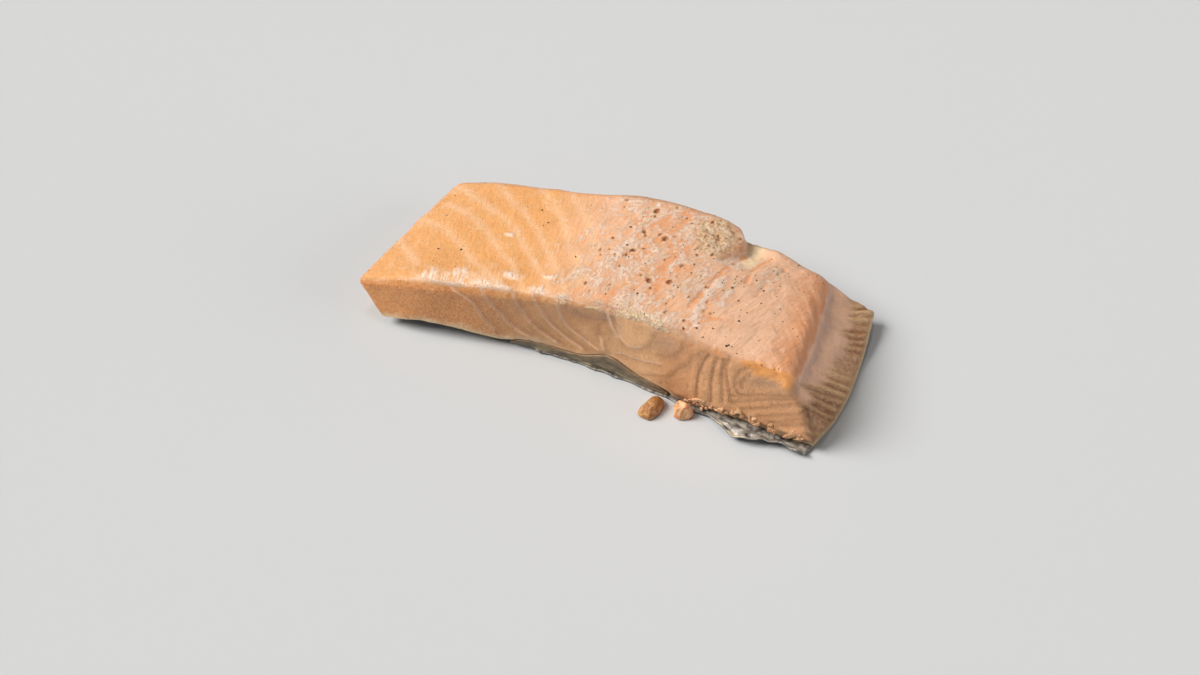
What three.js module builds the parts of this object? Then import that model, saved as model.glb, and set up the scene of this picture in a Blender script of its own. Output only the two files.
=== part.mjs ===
// A cooked salmon fillet portion that lies on its skin.
// Millimetres, +Z up, Z = 0 is the surface it lies on.
// X runs along the two long cut faces, from the thin belly end to the thick ribbed end.
// Y runs across, from the cut face in front to the cut face at the back.
import * as THREE from 'three';

// Driving sizes of the flesh
const THIN_END = -58;
const THICK_END = 92;
const MEAN_WIDTH = 57;
const MEAN_HEIGHT = 27;
const CROWN = 0.6;
const FOOT_ROUNDING = 1.6;
const TOP_ROUNDING = 2.8;

// The fillet's section along X: the front face's Y at its foot and at its lip, the back face's Y,
// and the height of the top along the front and along the back
const SECTIONS = [
  { x: -58, foot: -12.5, lip: -10.5, back: 51.5, frontTop: 15.8, backTop: 13.5 },
  { x: -40, foot: -10.5, lip: -9, back: 52, frontTop: 23, backTop: 19.5 },
  { x: -20, foot: -6.5, lip: -5, back: 52, frontTop: 25.7, backTop: 24.5 },
  { x: 0, foot: -2, lip: -1, back: 52.5, frontTop: 27.3, backTop: 29.3 },
  { x: 22, foot: -0.5, lip: 0.5, back: 55.5, frontTop: 32.3, backTop: 33.2 },
  { x: 50, foot: -1.5, lip: 0.5, back: 57, frontTop: 32.8, backTop: 31.6 },
  { x: 72, foot: -2.5, lip: 0, back: 55, frontTop: 31.8, backTop: 26.3 },
  { x: 92, foot: -3, lip: 0, back: 55, frontTop: 30.3, backTop: 22 },
];

// Layers under the flesh, and the clearance between touching pieces
const SKIN_THICKNESS = 0.9;
const GAP = 0.3;
const MUSCLE_START = -7;
const MUSCLE_END = 52;
const MUSCLE_BASE = 3.1;
const MUSCLE_RIDGE = 5.2;
const MUSCLE_RIDGE_X = 30;
const MUSCLE_RIDGE_WIDTH = 8;

// How far the thin end and the far corner of the thick end curl up from the surface
const THIN_END_LIFT = 5.2;
const THIN_TIP_DROOP = 3;
const CORNER_LIFT = 4.5;
const THICK_LIP_LIFT = 2.2;

// Cleft in the back edge: the swollen crust on its left ends in a round nose, and the flesh on its
// right lies lower
const CLEFT_X = 52.5;
const CLEFT_Y = 38.4;
const CRUST_NOSE = 5.5;
const CRUST_NOSE_Y = 48.5;
const CRUST_HEIGHT = 0.9;
const CLEFT_DEPTH = 5.6;

// Relief of the cut faces and of the ribbed end
const FLAKE_PITCH = 10;
const FLAKE_DEPTH = 0.35;
const ARC_CENTRE = { x: 38.5, z: 27 };
const ARC_PITCH = 5.2;
const ARC_DEPTH = 0.35;
const FOLD_PITCH = 4.3;
const FOLD_DEPTH = 0.55;
const SWIRL_CENTRE = { x: 81, z: 20 };
const SWIRL_PITCH = 4.7;
const SWIRL_DEPTH = 0.5;
const RIB_COUNT = 12;
const RIB_DEPTH = 0.5;
const CRAG_DEPTH = 1.3;

// The middle of the whole fillet, which becomes the origin
const MIDDLE_X = 22.8;
const MIDDLE_Y = 22.4;

// A step that rises smoothly from 0 at t = 0 to 1 at t = 1
function smooth(t) {
  const s = Math.min(Math.max(t, 0), 1);
  return s * s * (3 - 2 * s);
}

function mix(low, high, t) {
  return low + (high - low) * t;
}

// A round hump of height 1 at the centre
function bell(t, centre, width) {
  const s = (t - centre) / width;
  return Math.exp(-s * s);
}

// Numbers from start on, with each span cut into equal cells
function stops(start, spans) {
  const list = [start];
  for (const { to, cells } of spans) {
    const from = list[list.length - 1];
    for (let i = 1; i <= cells; i += 1) {
      list.push(mix(from, to, i / cells));
    }
  }
  return list;
}

// One measure of the section at x, on a smooth curve through the stations
function section(x, key) {
  const last = SECTIONS.length - 1;
  const slopeAt = (i) => {
    const before = SECTIONS[Math.max(i - 1, 0)];
    const after = SECTIONS[Math.min(i + 1, last)];
    if (i === 0 || i === last) {
      return (after[key] - before[key]) / (after.x - before.x);
    }
    const here = SECTIONS[i];
    const h0 = here.x - before.x;
    const h1 = after.x - here.x;
    const left = (here[key] - before[key]) / h0;
    const right = (after[key] - here[key]) / h1;
    return (left * h1 + right * h0) / (h0 + h1);
  };
  let i = 0;
  while (i < last - 1 && x > SECTIONS[i + 1].x) {
    i += 1;
  }
  const span = SECTIONS[i + 1].x - SECTIONS[i].x;
  const t = Math.min(Math.max((x - SECTIONS[i].x) / span, 0), 1);
  const low = SECTIONS[i][key];
  const high = SECTIONS[i + 1][key];
  const startShare = 2 * t ** 3 - 3 * t ** 2 + 1;
  const startSlope = (t ** 3 - 2 * t ** 2 + t) * span * slopeAt(i);
  const endSlope = (t ** 3 - t ** 2) * span * slopeAt(i + 1);
  return startShare * low + (1 - startShare) * high + startSlope + endSlope;
}

// Height of the skin's underside: flat in the middle, curled up at the thin end and the far corner
function restHeight(x, y) {
  const thinEnd = THIN_END_LIFT * smooth((12 - x) / 55) - THIN_TIP_DROOP * smooth((-36 - x) / 20);
  const farCorner = CORNER_LIFT * smooth((x - 92) / 14) * smooth((y - 34) / 20);
  return thinEnd + farCorner;
}

// Thickness of the dark muscle: a low bed with a ridge under the lateral line
function muscleHeight(x) {
  const bed = MUSCLE_BASE * smooth((x + 12) / 14) * smooth((60 - x) / 16);
  return bed + MUSCLE_RIDGE * bell(x, MUSCLE_RIDGE_X, MUSCLE_RIDGE_WIDTH);
}

// Height of the flesh's underside, clear of the skin and of the dark muscle
function fleshUnder(x, y) {
  const past = Math.max(MUSCLE_START - x, x - MUSCLE_END, 0);
  const muscle = (muscleHeight(x) + GAP) * smooth(1 - past / 4);
  const lip = THICK_LIP_LIFT * smooth((x - 62) / 12) * smooth((11 - y) / 10);
  return restHeight(x, y) + SKIN_THICKNESS + GAP + muscle + lip;
}

// Swollen crust and cleft at the back edge
function topRelief(x, y) {
  const fromNose = (y - CRUST_NOSE_Y) / (CRUST_NOSE_Y - CLEFT_Y);
  const pastCleft = x - CLEFT_X - CRUST_NOSE * (1 - fromNose ** 2);
  const depth = smooth(pastCleft / 2.5) * smooth((16 - pastCleft) / 14) * smooth((y - CLEFT_Y + 3) / 7);
  const crust = bell(x, 47, 8) * bell(y, 48, 8) * smooth(-pastCleft / 3);
  return CRUST_HEIGHT * crust - CLEFT_DEPTH * depth;
}

// Ragged outline, the same on each run
function crag(t) {
  return 0.5 * Math.sin(1.31 * t) + 0.3 * Math.sin(2.73 * t + 1.1) + 0.2 * Math.sin(4.9 * t + 2.3);
}

// Relief of a long cut face: slanting flakes, arcs round the lateral line, folds and a swirl
function cutFaceRelief(x, z) {
  const flakes = -FLAKE_DEPTH * Math.cos((2 * Math.PI * (x + z + 3.5)) / FLAKE_PITCH);
  const arcRadius = Math.hypot(x - ARC_CENTRE.x, z - ARC_CENTRE.z);
  const arcs = ARC_DEPTH * Math.cos((2 * Math.PI * arcRadius) / ARC_PITCH);
  const folds = FOLD_DEPTH * Math.cos((2 * Math.PI * (x - 50)) / FOLD_PITCH);
  const swirlRadius = Math.hypot(x - SWIRL_CENTRE.x, 1.3 * (z - SWIRL_CENTRE.z));
  const swirl = SWIRL_DEPTH * Math.cos((2 * Math.PI * swirlRadius) / SWIRL_PITCH);
  const inFlakes = smooth((x + 32) / 8) * smooth((27 - x) / 5);
  const inArcs = smooth((x - 25) / 5) * smooth((58 - x) / 5);
  const inFolds = smooth((x - 55) / 4) * smooth((74 - x) / 3);
  const inSwirl = smooth((x - 71) / 4);
  return flakes * inFlakes + arcs * inArcs + folds * inFolds + swirl * inSwirl;
}

// Pulls the edges and corners of a unit cube in to round ones
function roundOff(point) {
  const radius = mix(FOOT_ROUNDING, TOP_ROUNDING, point[2]);
  const radii = [radius / (THICK_END - THIN_END), radius / MEAN_WIDTH, radius / MEAN_HEIGHT];
  const inner = point.map((p, i) => Math.min(Math.max(p, radii[i]), 1 - radii[i]));
  const out = point.map((p, i) => (p - inner[i]) / radii[i]);
  const length = Math.hypot(...out) || 1;
  return inner.map((p, i) => p + (radii[i] * out[i]) / length);
}

// How far the slanting thin end is moved along X, for a place across and up
function thinEndShift(across, up) {
  return 3.8 - 10.8 * up + 8.5 * across;
}

// How far the thick end is moved along X: a bowed crest above, a sloping ribbed face below it
function thickEndShift(across, up) {
  const nose = 1.4 * Math.max(1 - across / 0.2, 0) ** 2;
  const crest = 1.9 + nose - 5.3 * across ** 2;
  const nearCorner = 4.8 * Math.max(1 - across / 0.5, 0) ** 2;
  const farCorner = 2.4 * Math.max((across - 0.5) / 0.5, 0) ** 2;
  const valley = 1.6 * bell(up, 0.8, 0.14);
  return mix(17.6 - nearCorner - farCorner, crest, up) - valley;
}

// A place in the flesh: 0 to 1 along, across from front to back, and up
function fleshPlace(along, across, up) {
  const [a, b, c] = roundOff([along, across, up]);
  const station = mix(THIN_END, THICK_END, a);
  const nearThin = smooth(1 - (station - THIN_END) / 30);
  const nearThick = smooth(1 - (THICK_END - station) / 25);
  const front = mix(section(station, 'foot'), section(station, 'lip'), c);
  let x = station + thinEndShift(b, c) * nearThin + thickEndShift(b, c) * nearThick;
  let y = mix(front, section(station, 'back'), b) + 4.5 * nearThick * (1 - c) * b;
  const top = mix(section(station, 'frontTop'), section(station, 'backTop'), b) + CROWN * 4 * b * (1 - b);
  const z = mix(fleshUnder(x, y), top + topRelief(x, y), c);

  const onFront = smooth(1 - (b * MEAN_WIDTH) / 4);
  const onBack = smooth(1 - ((1 - b) * MEAN_WIDTH) / 4);
  const onEnd = smooth(1 - (THICK_END - station) / 5);
  const nearFoot = smooth(1 - c / 0.3);
  const ragged = CRAG_DEPTH * nearFoot * smooth((x - 50) / 12) * crag(x);
  y -= onFront * (cutFaceRelief(x, z) + ragged);
  y += onBack * cutFaceRelief(x + 3, z);
  x += onEnd * RIB_DEPTH * smooth((0.8 - c) / 0.3) * Math.cos(2 * Math.PI * RIB_COUNT * across);
  return [x, y, z];
}

// The dark muscle runs right through under the flesh, and shows at both long cut faces
function musclePlace(along, across, up) {
  const x = along;
  const front = section(x, 'foot') - 0.5;
  const back = section(x, 'back') + 0.2;
  const y = mix(front, back, across);
  const bottom = restHeight(x, y) + SKIN_THICKNESS + GAP;
  const bulge = 0.5 * Math.sin(Math.PI * up);
  const edge = bulge * (smooth((across - 0.9) / 0.1) - smooth((0.1 - across) / 0.1));
  return [x, y + edge, bottom + muscleHeight(x) * up];
}

// Plan of the skin: its own front, back and ends, which stand in or out from the flesh's foot
function skinPlace(along, across, up) {
  const station = mix(THIN_END, THICK_END, along);
  const nearThin = smooth(1 - (station - THIN_END) / 30);
  const nearThick = smooth(1 - (THICK_END - station) / 25);
  const showing = mix(-1.6, 1.2, smooth((station + 8) / 14)) + 1.3 * bell(station, 31, 9);
  const tab = 1.9 * smooth((station - 66) / 6) + 3.2 * bell(station, 77, 4.5);
  const front = section(station, 'foot') - showing - tab;
  const back = section(station, 'back') - 1.2;
  const x = station + (thinEndShift(across, 0) + 1.6) * nearThin + (thickEndShift(across, 0) - 2.2) * nearThick;
  const y = mix(front, back, across) + 4.5 * nearThick * across;
  const clearOfFlesh = smooth((section(station, 'foot') - 0.6 - y) / 2.5) * smooth((station - 60) / 8);
  const wrinkle = clearOfFlesh * (1.4 + 0.9 * Math.sin(0.95 * x) + 0.5 * Math.sin(2.1 * x + y));
  return [x, y, restHeight(x, y) + wrinkle + SKIN_THICKNESS * up];
}

// A flat-bottomed morsel: a lumpy half ball stretched along a turned axis
function morselPlace({ x, y, length, width, height, turn, squareness, lumps }) {
  return (along, across, up) => {
    const u = 2 * along - 1;
    const v = 2 * across - 1;
    const reach = Math.max(Math.hypot(u, v), 1e-6);
    const square = Math.max(Math.abs(u), Math.abs(v));
    const round = mix(square / reach, 1, squareness);
    const lump = 1 + lumps * Math.sin(3 * Math.atan2(v, u) + 0.8) * square;
    const shrink = mix(1, 0.7, up * up) * lump * round;
    const along1 = (u * shrink * length) / 2;
    const across1 = (v * shrink * width) / 2;
    const dome = 1 - 0.3 * square ** 4 + lumps * Math.sin(2.4 * u + 1.7 * v);
    return [
      x + along1 * Math.cos(turn) - across1 * Math.sin(turn),
      y + along1 * Math.sin(turn) + across1 * Math.cos(turn),
      up * height * dome,
    ];
  };
}

// A closed block of faces: a grid on each of the six sides, welded along the edges
function block(alongStops, acrossStops, upStops, place) {
  const counts = [alongStops.length - 1, acrossStops.length - 1, upStops.length - 1];
  const positions = [];
  const index = [];
  const known = new Map();
  const vertex = (i, j, k) => {
    const key = `${i},${j},${k}`;
    if (!known.has(key)) {
      known.set(key, known.size);
      positions.push(...place(alongStops[i], acrossStops[j], upStops[k]));
    }
    return known.get(key);
  };
  // Each side is crossed by two axes and stands at the low or high stop of the third
  const sides = [
    { fixed: 0, first: 1, second: 2 },
    { fixed: 1, first: 2, second: 0 },
    { fixed: 2, first: 0, second: 1 },
  ];
  for (const { fixed, first, second } of sides) {
    for (const high of [false, true]) {
      const corner = (m, n) => {
        const at = [0, 0, 0];
        at[fixed] = high ? counts[fixed] : 0;
        at[first] = m;
        at[second] = n;
        return vertex(...at);
      };
      for (let m = 0; m < counts[first]; m += 1) {
        for (let n = 0; n < counts[second]; n += 1) {
          const ring = [corner(m, n), corner(m + 1, n), corner(m + 1, n + 1), corner(m, n + 1)];
          if (!high) {
            ring.reverse();
          }
          index.push(ring[0], ring[1], ring[2], ring[0], ring[2], ring[3]);
        }
      }
    }
  }
  const geometry = new THREE.BufferGeometry();
  geometry.setAttribute('position', new THREE.Float32BufferAttribute(positions, 3));
  geometry.setIndex(index);
  geometry.computeVertexNormals();
  return geometry;
}

function piece(name, geometry, color, roughness) {
  const mesh = new THREE.Mesh(geometry, new THREE.MeshStandardMaterial({ color, roughness, metalness: 0 }));
  mesh.name = name;
  return mesh;
}

// Stops along the flesh in millimetres: wide cells at the thin end, finer ones where it is folded
const FLESH_X = stops(THIN_END, [
  { to: -55, cells: 2 },
  { to: 20, cells: 20 },
  { to: 89, cells: 32 },
  { to: THICK_END, cells: 2 },
]);
const fleshAlong = FLESH_X.map((x) => (x - THIN_END) / (THICK_END - THIN_END));
const fleshAcross = stops(0, [{ to: 1, cells: 2 * RIB_COUNT }]);
const fleshUp = stops(0, [{ to: 0.12, cells: 2 }, { to: 0.88, cells: 5 }, { to: 1, cells: 2 }]);

// The muscle shares the flesh's stops, so that the two faces between them stay parallel
const muscleAlong = [MUSCLE_START, ...FLESH_X.filter((x) => x > MUSCLE_START + 1 && x < MUSCLE_END - 1), MUSCLE_END];

const fillet = new THREE.Group();
fillet.add(piece('flesh', block(fleshAlong, fleshAcross, fleshUp, fleshPlace), '#e6a679', 0.45));

const muscle = block(muscleAlong, stops(0, [{ to: 1, cells: 10 }]), stops(0, [{ to: 1, cells: 2 }]), musclePlace);
fillet.add(piece('dark_muscle', muscle, '#8d8570', 0.5));

const skin = block(stops(0, [{ to: 1, cells: 40 }]), stops(0, [{ to: 0.16, cells: 5 }, { to: 1, cells: 10 }]),
  [0, 1], skinPlace);
fillet.add(piece('skin', skin, '#55585a', 0.4));

// Two morsels that came loose lie against the foot of the cut face
const unit = stops(0, [{ to: 1, cells: 6 }]);
const fatScrap = morselPlace({
  x: 49.2, y: -8.4, length: 10.6, width: 6, height: 4.6, turn: 1.25, squareness: 0.5, lumps: 0.08,
});
fillet.add(piece('fat_scrap', block(unit, unit, unit, fatScrap), '#c79a68', 0.4));

const fleshScrap = morselPlace({
  x: 59.5, y: -5.9, length: 7, width: 5.2, height: 5.8, turn: 0.15, squareness: 0.4, lumps: 0.1,
});
fillet.add(piece('flesh_scrap', block(unit, unit, unit, fleshScrap), '#e59a63', 0.4));

fillet.position.set(-MIDDLE_X, -MIDDLE_Y, 0);

export default fillet;
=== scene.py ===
# %% [markdown]
# # A cooked salmon fillet
#
# A portion cut across the side of the fish and cooked on its skin. The two long faces are knife cuts,
# so they show the rings and arcs of the flakes. The thick end slopes down to the skin in fine ribs, the
# thin end comes from the belly, and the top is mottled where white curd has cooked out of the flesh.
#
# Every surface here is worked out with numpy in millimetres, in the fillet's own measuring frame, and
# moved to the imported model's frame in metres at the last moment. X runs along the cut faces from the
# thin end to the thick end, Y runs from the front cut face to the back one, and Z is up.

import math

import bpy
import numpy as np
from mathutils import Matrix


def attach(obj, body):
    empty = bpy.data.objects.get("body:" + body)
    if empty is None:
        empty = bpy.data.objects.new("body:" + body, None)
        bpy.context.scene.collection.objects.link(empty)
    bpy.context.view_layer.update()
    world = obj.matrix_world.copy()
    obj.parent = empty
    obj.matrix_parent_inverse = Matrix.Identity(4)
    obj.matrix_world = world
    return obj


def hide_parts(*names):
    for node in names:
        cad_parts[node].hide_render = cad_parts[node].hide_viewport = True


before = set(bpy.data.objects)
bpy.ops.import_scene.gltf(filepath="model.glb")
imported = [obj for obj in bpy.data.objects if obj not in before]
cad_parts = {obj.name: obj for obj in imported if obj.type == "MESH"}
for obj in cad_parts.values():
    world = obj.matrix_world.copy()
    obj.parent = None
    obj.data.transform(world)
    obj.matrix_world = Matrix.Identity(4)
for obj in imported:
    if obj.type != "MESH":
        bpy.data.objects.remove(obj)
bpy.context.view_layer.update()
MILLIMETRE = 0.001
MIDDLE = np.array([22.8, 22.4, 0.0])

# %% [markdown]
# ## The camera
#
# The camera comes first, because everything after it is judged through it. It stands to the right of
# the front cut face and looks down steeply, so that the top fills most of the picture and both the
# front cut face and the ribbed end show. A point on the table, a distance and two angles place it.

# %% Camera
LOOK_AT = np.array([-2.6, -9.3, 0.0])
CAMERA_DISTANCE = 446.4
AZIMUTH = math.radians(24.1)
ELEVATION = math.radians(51.4)
LENS = 37.5
SENSOR_WIDTH = 36.0


def backwards(azimuth, elevation):
    """The way from what is looked at to the camera: (sin a cos e, -cos a cos e, sin e)."""
    return np.array([math.sin(azimuth) * math.cos(elevation), -math.cos(azimuth) * math.cos(elevation),
                     math.sin(elevation)])


camera_data = bpy.data.cameras.new("camera")
camera_data.lens = LENS
camera_data.sensor_width = SENSOR_WIDTH
camera = bpy.data.objects.new("camera", camera_data)
bpy.context.collection.objects.link(camera)
camera.location = (LOOK_AT + CAMERA_DISTANCE * backwards(AZIMUTH, ELEVATION)) * MILLIMETRE
camera.rotation_euler = (math.pi / 2 - ELEVATION, 0.0, AZIMUTH)
bpy.context.scene.camera = camera
print("camera stands at", [round(v, 3) for v in camera.location])

# %% [markdown]
# ## Small tools for shapes
#
# A form that swells, fades or steps is easiest to read when it is put together from three small
# functions: a smooth step, a mix of two values and a round bell. All of them take whole arrays.


# %% Steps, mixes and bells
def smooth(t):
    """0 below t = 0, 1 above t = 1, and 3 t^2 - 2 t^3 between."""
    t = np.clip(t, 0.0, 1.0)
    return t * t * (3.0 - 2.0 * t)


def mix(low, high, t):
    """low + (high - low) t."""
    return low + (high - low) * t


def bell(t, centre, width):
    """A round hump, exp(-((t - centre) / width)^2)."""
    return np.exp(-((t - centre) / width) ** 2)


def stops(start, spans):
    """Numbers from start on: each span (to, cells) is cut into equal cells."""
    parts = [np.array([start], float)]
    for to, cells in spans:
        parts.append(np.linspace(parts[-1][-1], to, cells + 1)[1:])
    return np.concatenate(parts)


# %% [markdown]
# ## Noise
#
# Food is never even. Value noise gives the unevenness: every point of an invisible cubic lattice gets
# a fixed random number, and a point between them takes a smooth mix of its eight neighbours. The
# numbers come from a seeded table, so each run gives the same fillet.

# %% Value noise
TABLE_LENGTH = 4096
LATTICE_PRIMES = (73856093, 19349663, 83492791)


def noise(points, size, seed):
    """Value noise between -1 and 1. size is the lattice spacing, one number or one for each axis."""
    table = np.random.default_rng(seed).uniform(-1.0, 1.0, TABLE_LENGTH)
    scaled = points / np.asarray(size, float)
    base = np.floor(scaled).astype(np.int64)
    share = smooth(scaled - base)
    total = np.zeros(len(points))
    for corner in np.ndindex(2, 2, 2):
        weight = np.prod(np.where(corner, share, 1.0 - share), axis=1)
        i, j, k = ((base + corner) * LATTICE_PRIMES).T
        total += weight * table[(i ^ j ^ k) % TABLE_LENGTH]
    return total


def layered(points, size, seed, layers=3):
    """Noise plus half as much at half the size, and so on, scaled back to about -1 to 1."""
    size = np.asarray(size, float)
    total = sum(noise(points, size / 2 ** n, seed + n) / 2 ** n for n in range(layers))
    return total / (2.0 - 2.0 ** (1 - layers))


# %% [markdown]
# ## From arrays to meshes
#
# A fillet is a block with six sides. A grid on each side, welded along the edges, gives a closed skin
# of quads whose points are known by three numbers from 0 to 1: along, across and up. The form is then
# a function of those three numbers. The other way would be to start from a cube and subdivide it, but
# then the cells could not be made finer where the flesh is finely folded.


# %% A welded grid on the six sides of a block
def block_grid(along, across, up):
    """Points (along, across, up) on the six sides of a block, and quads facing outwards."""
    axes = (along, across, up)
    counts = np.array([len(axis) for axis in axes])
    corners = []
    for fixed in range(3):
        first, second = (fixed + 1) % 3, (fixed + 2) % 3
        m, n = np.meshgrid(np.arange(counts[first] - 1), np.arange(counts[second] - 1), indexing="ij")
        for high in (False, True):
            ring = [(0, 0), (1, 0), (1, 1), (0, 1)]
            if not high:
                ring.reverse()
            quad = np.zeros((m.size, 4, 3), np.int64)
            quad[:, :, fixed] = counts[fixed] - 1 if high else 0
            for place, (dm, dn) in enumerate(ring):
                quad[:, place, first] = m.ravel() + dm
                quad[:, place, second] = n.ravel() + dn
            corners.append(quad)
    corners = np.concatenate(corners)
    key = (corners[..., 0] * counts[1] + corners[..., 1]) * counts[2] + corners[..., 2]
    known, quads = np.unique(key, return_inverse=True)
    i, rest = np.divmod(known, counts[1] * counts[2])
    j, k = np.divmod(rest, counts[2])
    return np.stack([along[i], across[j], up[k]], axis=1), quads.reshape(-1, 4)


def normals_of(points, quads):
    """Unit normal of each point: the sum of its quads' crossed diagonals."""
    a, b, c, d = (points[quads[:, i]] for i in range(4))
    crossed = np.cross(c - a, d - b)
    total = np.stack([
        sum(np.bincount(quads[:, i], crossed[:, axis], len(points)) for i in range(4)) for axis in range(3)
    ], axis=1)
    return total / np.maximum(np.linalg.norm(total, axis=1, keepdims=True), 1e-12)


# %% Put arrays into Blender
def add_surface(name, points, faces, values=None):
    """A smooth-shaded mesh object from points in millimetres and faces of 3 or 4 corners.

    values holds one named number, vector or colour for each point, which the material can read."""
    mesh = bpy.data.meshes.new(name)
    sides = faces.shape[1]
    mesh.vertices.add(len(points))
    mesh.vertices.foreach_set("co", ((points - MIDDLE) * MILLIMETRE).astype(np.float32).ravel())
    mesh.loops.add(faces.size)
    mesh.loops.foreach_set("vertex_index", faces.astype(np.int32).ravel())
    mesh.polygons.add(len(faces))
    mesh.polygons.foreach_set("loop_start", np.arange(0, faces.size, sides, dtype=np.int32))
    mesh.polygons.foreach_set("use_smooth", np.ones(len(faces), bool))
    mesh.update(calc_edges=True)
    for key, value in (values or {}).items():
        if value.ndim == 1:
            mesh.attributes.new(key, "FLOAT", "POINT").data.foreach_set("value", value.astype(np.float32))
        elif value.shape[1] == 3:
            store = mesh.attributes.new(key, "FLOAT_VECTOR", "POINT").data
            store.foreach_set("vector", value.astype(np.float32).ravel())
        else:
            store = mesh.attributes.new(key, "FLOAT_COLOR", "POINT").data
            store.foreach_set("color", value.astype(np.float32).ravel())
    piece = bpy.data.objects.new(name, mesh)
    bpy.context.collection.objects.link(piece)
    print(f"{name}: {len(points)} points, {len(faces)} faces")
    return piece


# %% [markdown]
# ## The fillet's section
#
# The form is lofted through eight sections along X. Each one says where the front cut face stands at
# its foot and at its lip, where the back face stands, and how high the top is along the front and
# along the back. Between sections every measure runs on a smooth cubic curve, the same one that the
# solids were made with, so that this finer surface keeps their form.

# %% Sections along the fillet
THIN_END = -58.0
THICK_END = 92.0
MEAN_WIDTH = 57.0
MEAN_HEIGHT = 27.0
CROWN = 0.6
# How far inwards the forms of the two ends reach, and how far the thick end's foot runs on to the back
THIN_REACH = 30.0
THICK_REACH = 25.0
BACK_SWEEP = 4.5
FOOT_ROUNDING = 0.7
TOP_ROUNDING = 2.0
THIN_END_ROUNDING = 1.4
THICK_END_ROUNDING = 3.2
SECTION_X = np.array([-58.0, -40, -20, 0, 22, 50, 72, 92])
FOOT = np.array([-12.5, -10.5, -6.5, -2, -0.5, -1.5, -2.5, -3])
LIP = np.array([-10.5, -9, -5, -1, 0.5, 0.5, 0, 0])
BACK = np.array([51.5, 52, 52, 52.5, 55.5, 57, 55, 55])
FRONT_TOP = np.array([15.8, 23, 25.7, 27.3, 32.3, 32.8, 31.8, 30.3])
BACK_TOP = np.array([13.5, 19.5, 24.5, 29.3, 33.2, 31.6, 26.3, 22])


def section(x, measure):
    """A cubic through the sections, with slopes from each section's neighbours."""
    slopes = np.gradient(measure, SECTION_X)
    i = np.clip(np.searchsorted(SECTION_X, x) - 1, 0, len(SECTION_X) - 2)
    span = SECTION_X[i + 1] - SECTION_X[i]
    t = np.clip((x - SECTION_X[i]) / span, 0.0, 1.0)
    start_share = 2 * t ** 3 - 3 * t ** 2 + 1
    curved = (t ** 3 - 2 * t ** 2 + t) * span * slopes[i] + (t ** 3 - t ** 2) * span * slopes[i + 1]
    return start_share * measure[i] + (1 - start_share) * measure[i + 1] + curved


print("width at the middle section:", round(float(section(20.0, BACK) - section(20.0, LIP)), 1), "mm")

# %% [markdown]
# ## The layers under the flesh
#
# The skin lies flat under the middle and torn_flakes up with the thin end and with the far corner of the
# thick end. On it, under the lateral line, lies the wedge of dark muscle, and the flesh's underside
# follows both. Keeping the three heights as functions of place lets each layer meet the next.

# %% Heights of the layers
SKIN_THICKNESS = 0.9
GAP = 0.3
MUSCLE_START = -7.0
MUSCLE_END = 52.0
MUSCLE_BASE = 3.1
MUSCLE_RIDGE = 5.2
MUSCLE_RIDGE_X = 30.0
MUSCLE_RIDGE_WIDTH = 8.0
THIN_END_LIFT = 5.2
THIN_TIP_DROOP = 3.0
CORNER_LIFT = 4.5
THICK_LIP_LIFT = 2.2


def rest_height(x, y):
    """Height of the skin's underside."""
    thin_end = THIN_END_LIFT * smooth((12 - x) / 55) - THIN_TIP_DROOP * smooth((-36 - x) / 20)
    return thin_end + CORNER_LIFT * smooth((x - 92) / 14) * smooth((y - 34) / 20)


def muscle_height(x):
    """Thickness of the dark muscle: a low bed with a ridge under the lateral line."""
    bed = MUSCLE_BASE * smooth((x + 12) / 14) * smooth((60 - x) / 16)
    return bed + MUSCLE_RIDGE * bell(x, MUSCLE_RIDGE_X, MUSCLE_RIDGE_WIDTH)


def flesh_under(x, y):
    """Height of the flesh's underside, above the skin and the dark muscle."""
    past = np.maximum(np.maximum(MUSCLE_START - x, x - MUSCLE_END), 0)
    muscle = (muscle_height(x) + GAP) * smooth(1 - past / 4)
    lip = THICK_LIP_LIFT * smooth((x - 62) / 12) * smooth((11 - y) / 10)
    return rest_height(x, y) + SKIN_THICKNESS + GAP + muscle + lip


# %% [markdown]
# ## The form of the flesh
#
# Along, across and up are first pulled in at the edges, so that the block's edges come out round, and
# are then carried to their place in the loft. The thin end slants back and under. The thick end is a
# bowed crest above a sloping face. At the back edge a swollen crust ends in a round nose, and past it
# a cleft drops to lower flesh.

# %% Form of the flesh
CLEFT_X = 52.5
CLEFT_Y = 38.4
CRUST_NOSE = 5.5
CRUST_NOSE_Y = 48.5
CRUST_HEIGHT = 0.9
CLEFT_DEPTH = 4.8
CLEFT_FRONT_DEPTH = 2.0
LIP_BEAD = 0.9
LIP_BEAD_REACH = 5.0


def round_off(unit):
    """Points of a unit block with its edges and corners pulled in to quarter circles."""
    station = mix(THIN_END, THICK_END, unit[:, :1])
    top = TOP_ROUNDING + THIN_END_ROUNDING * smooth((15 - station) / 40)
    top = top + THICK_END_ROUNDING * smooth((station - 74) / 16)
    radius = mix(FOOT_ROUNDING, top, unit[:, 2:])
    radii = radius / np.array([THICK_END - THIN_END, MEAN_WIDTH, MEAN_HEIGHT])
    inner = np.clip(unit, radii, 1 - radii)
    out = (unit - inner) / radii
    length = np.linalg.norm(out, axis=1, keepdims=True)
    return inner + radii * out / np.where(length > 0, length, 1.0)


def past_cleft(x, y):
    """Distance past the round nose of the crust, along X."""
    from_nose = (y - CRUST_NOSE_Y) / (CRUST_NOSE_Y - CLEFT_Y)
    return x - CLEFT_X - CRUST_NOSE * (1 - from_nose ** 2)


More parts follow.
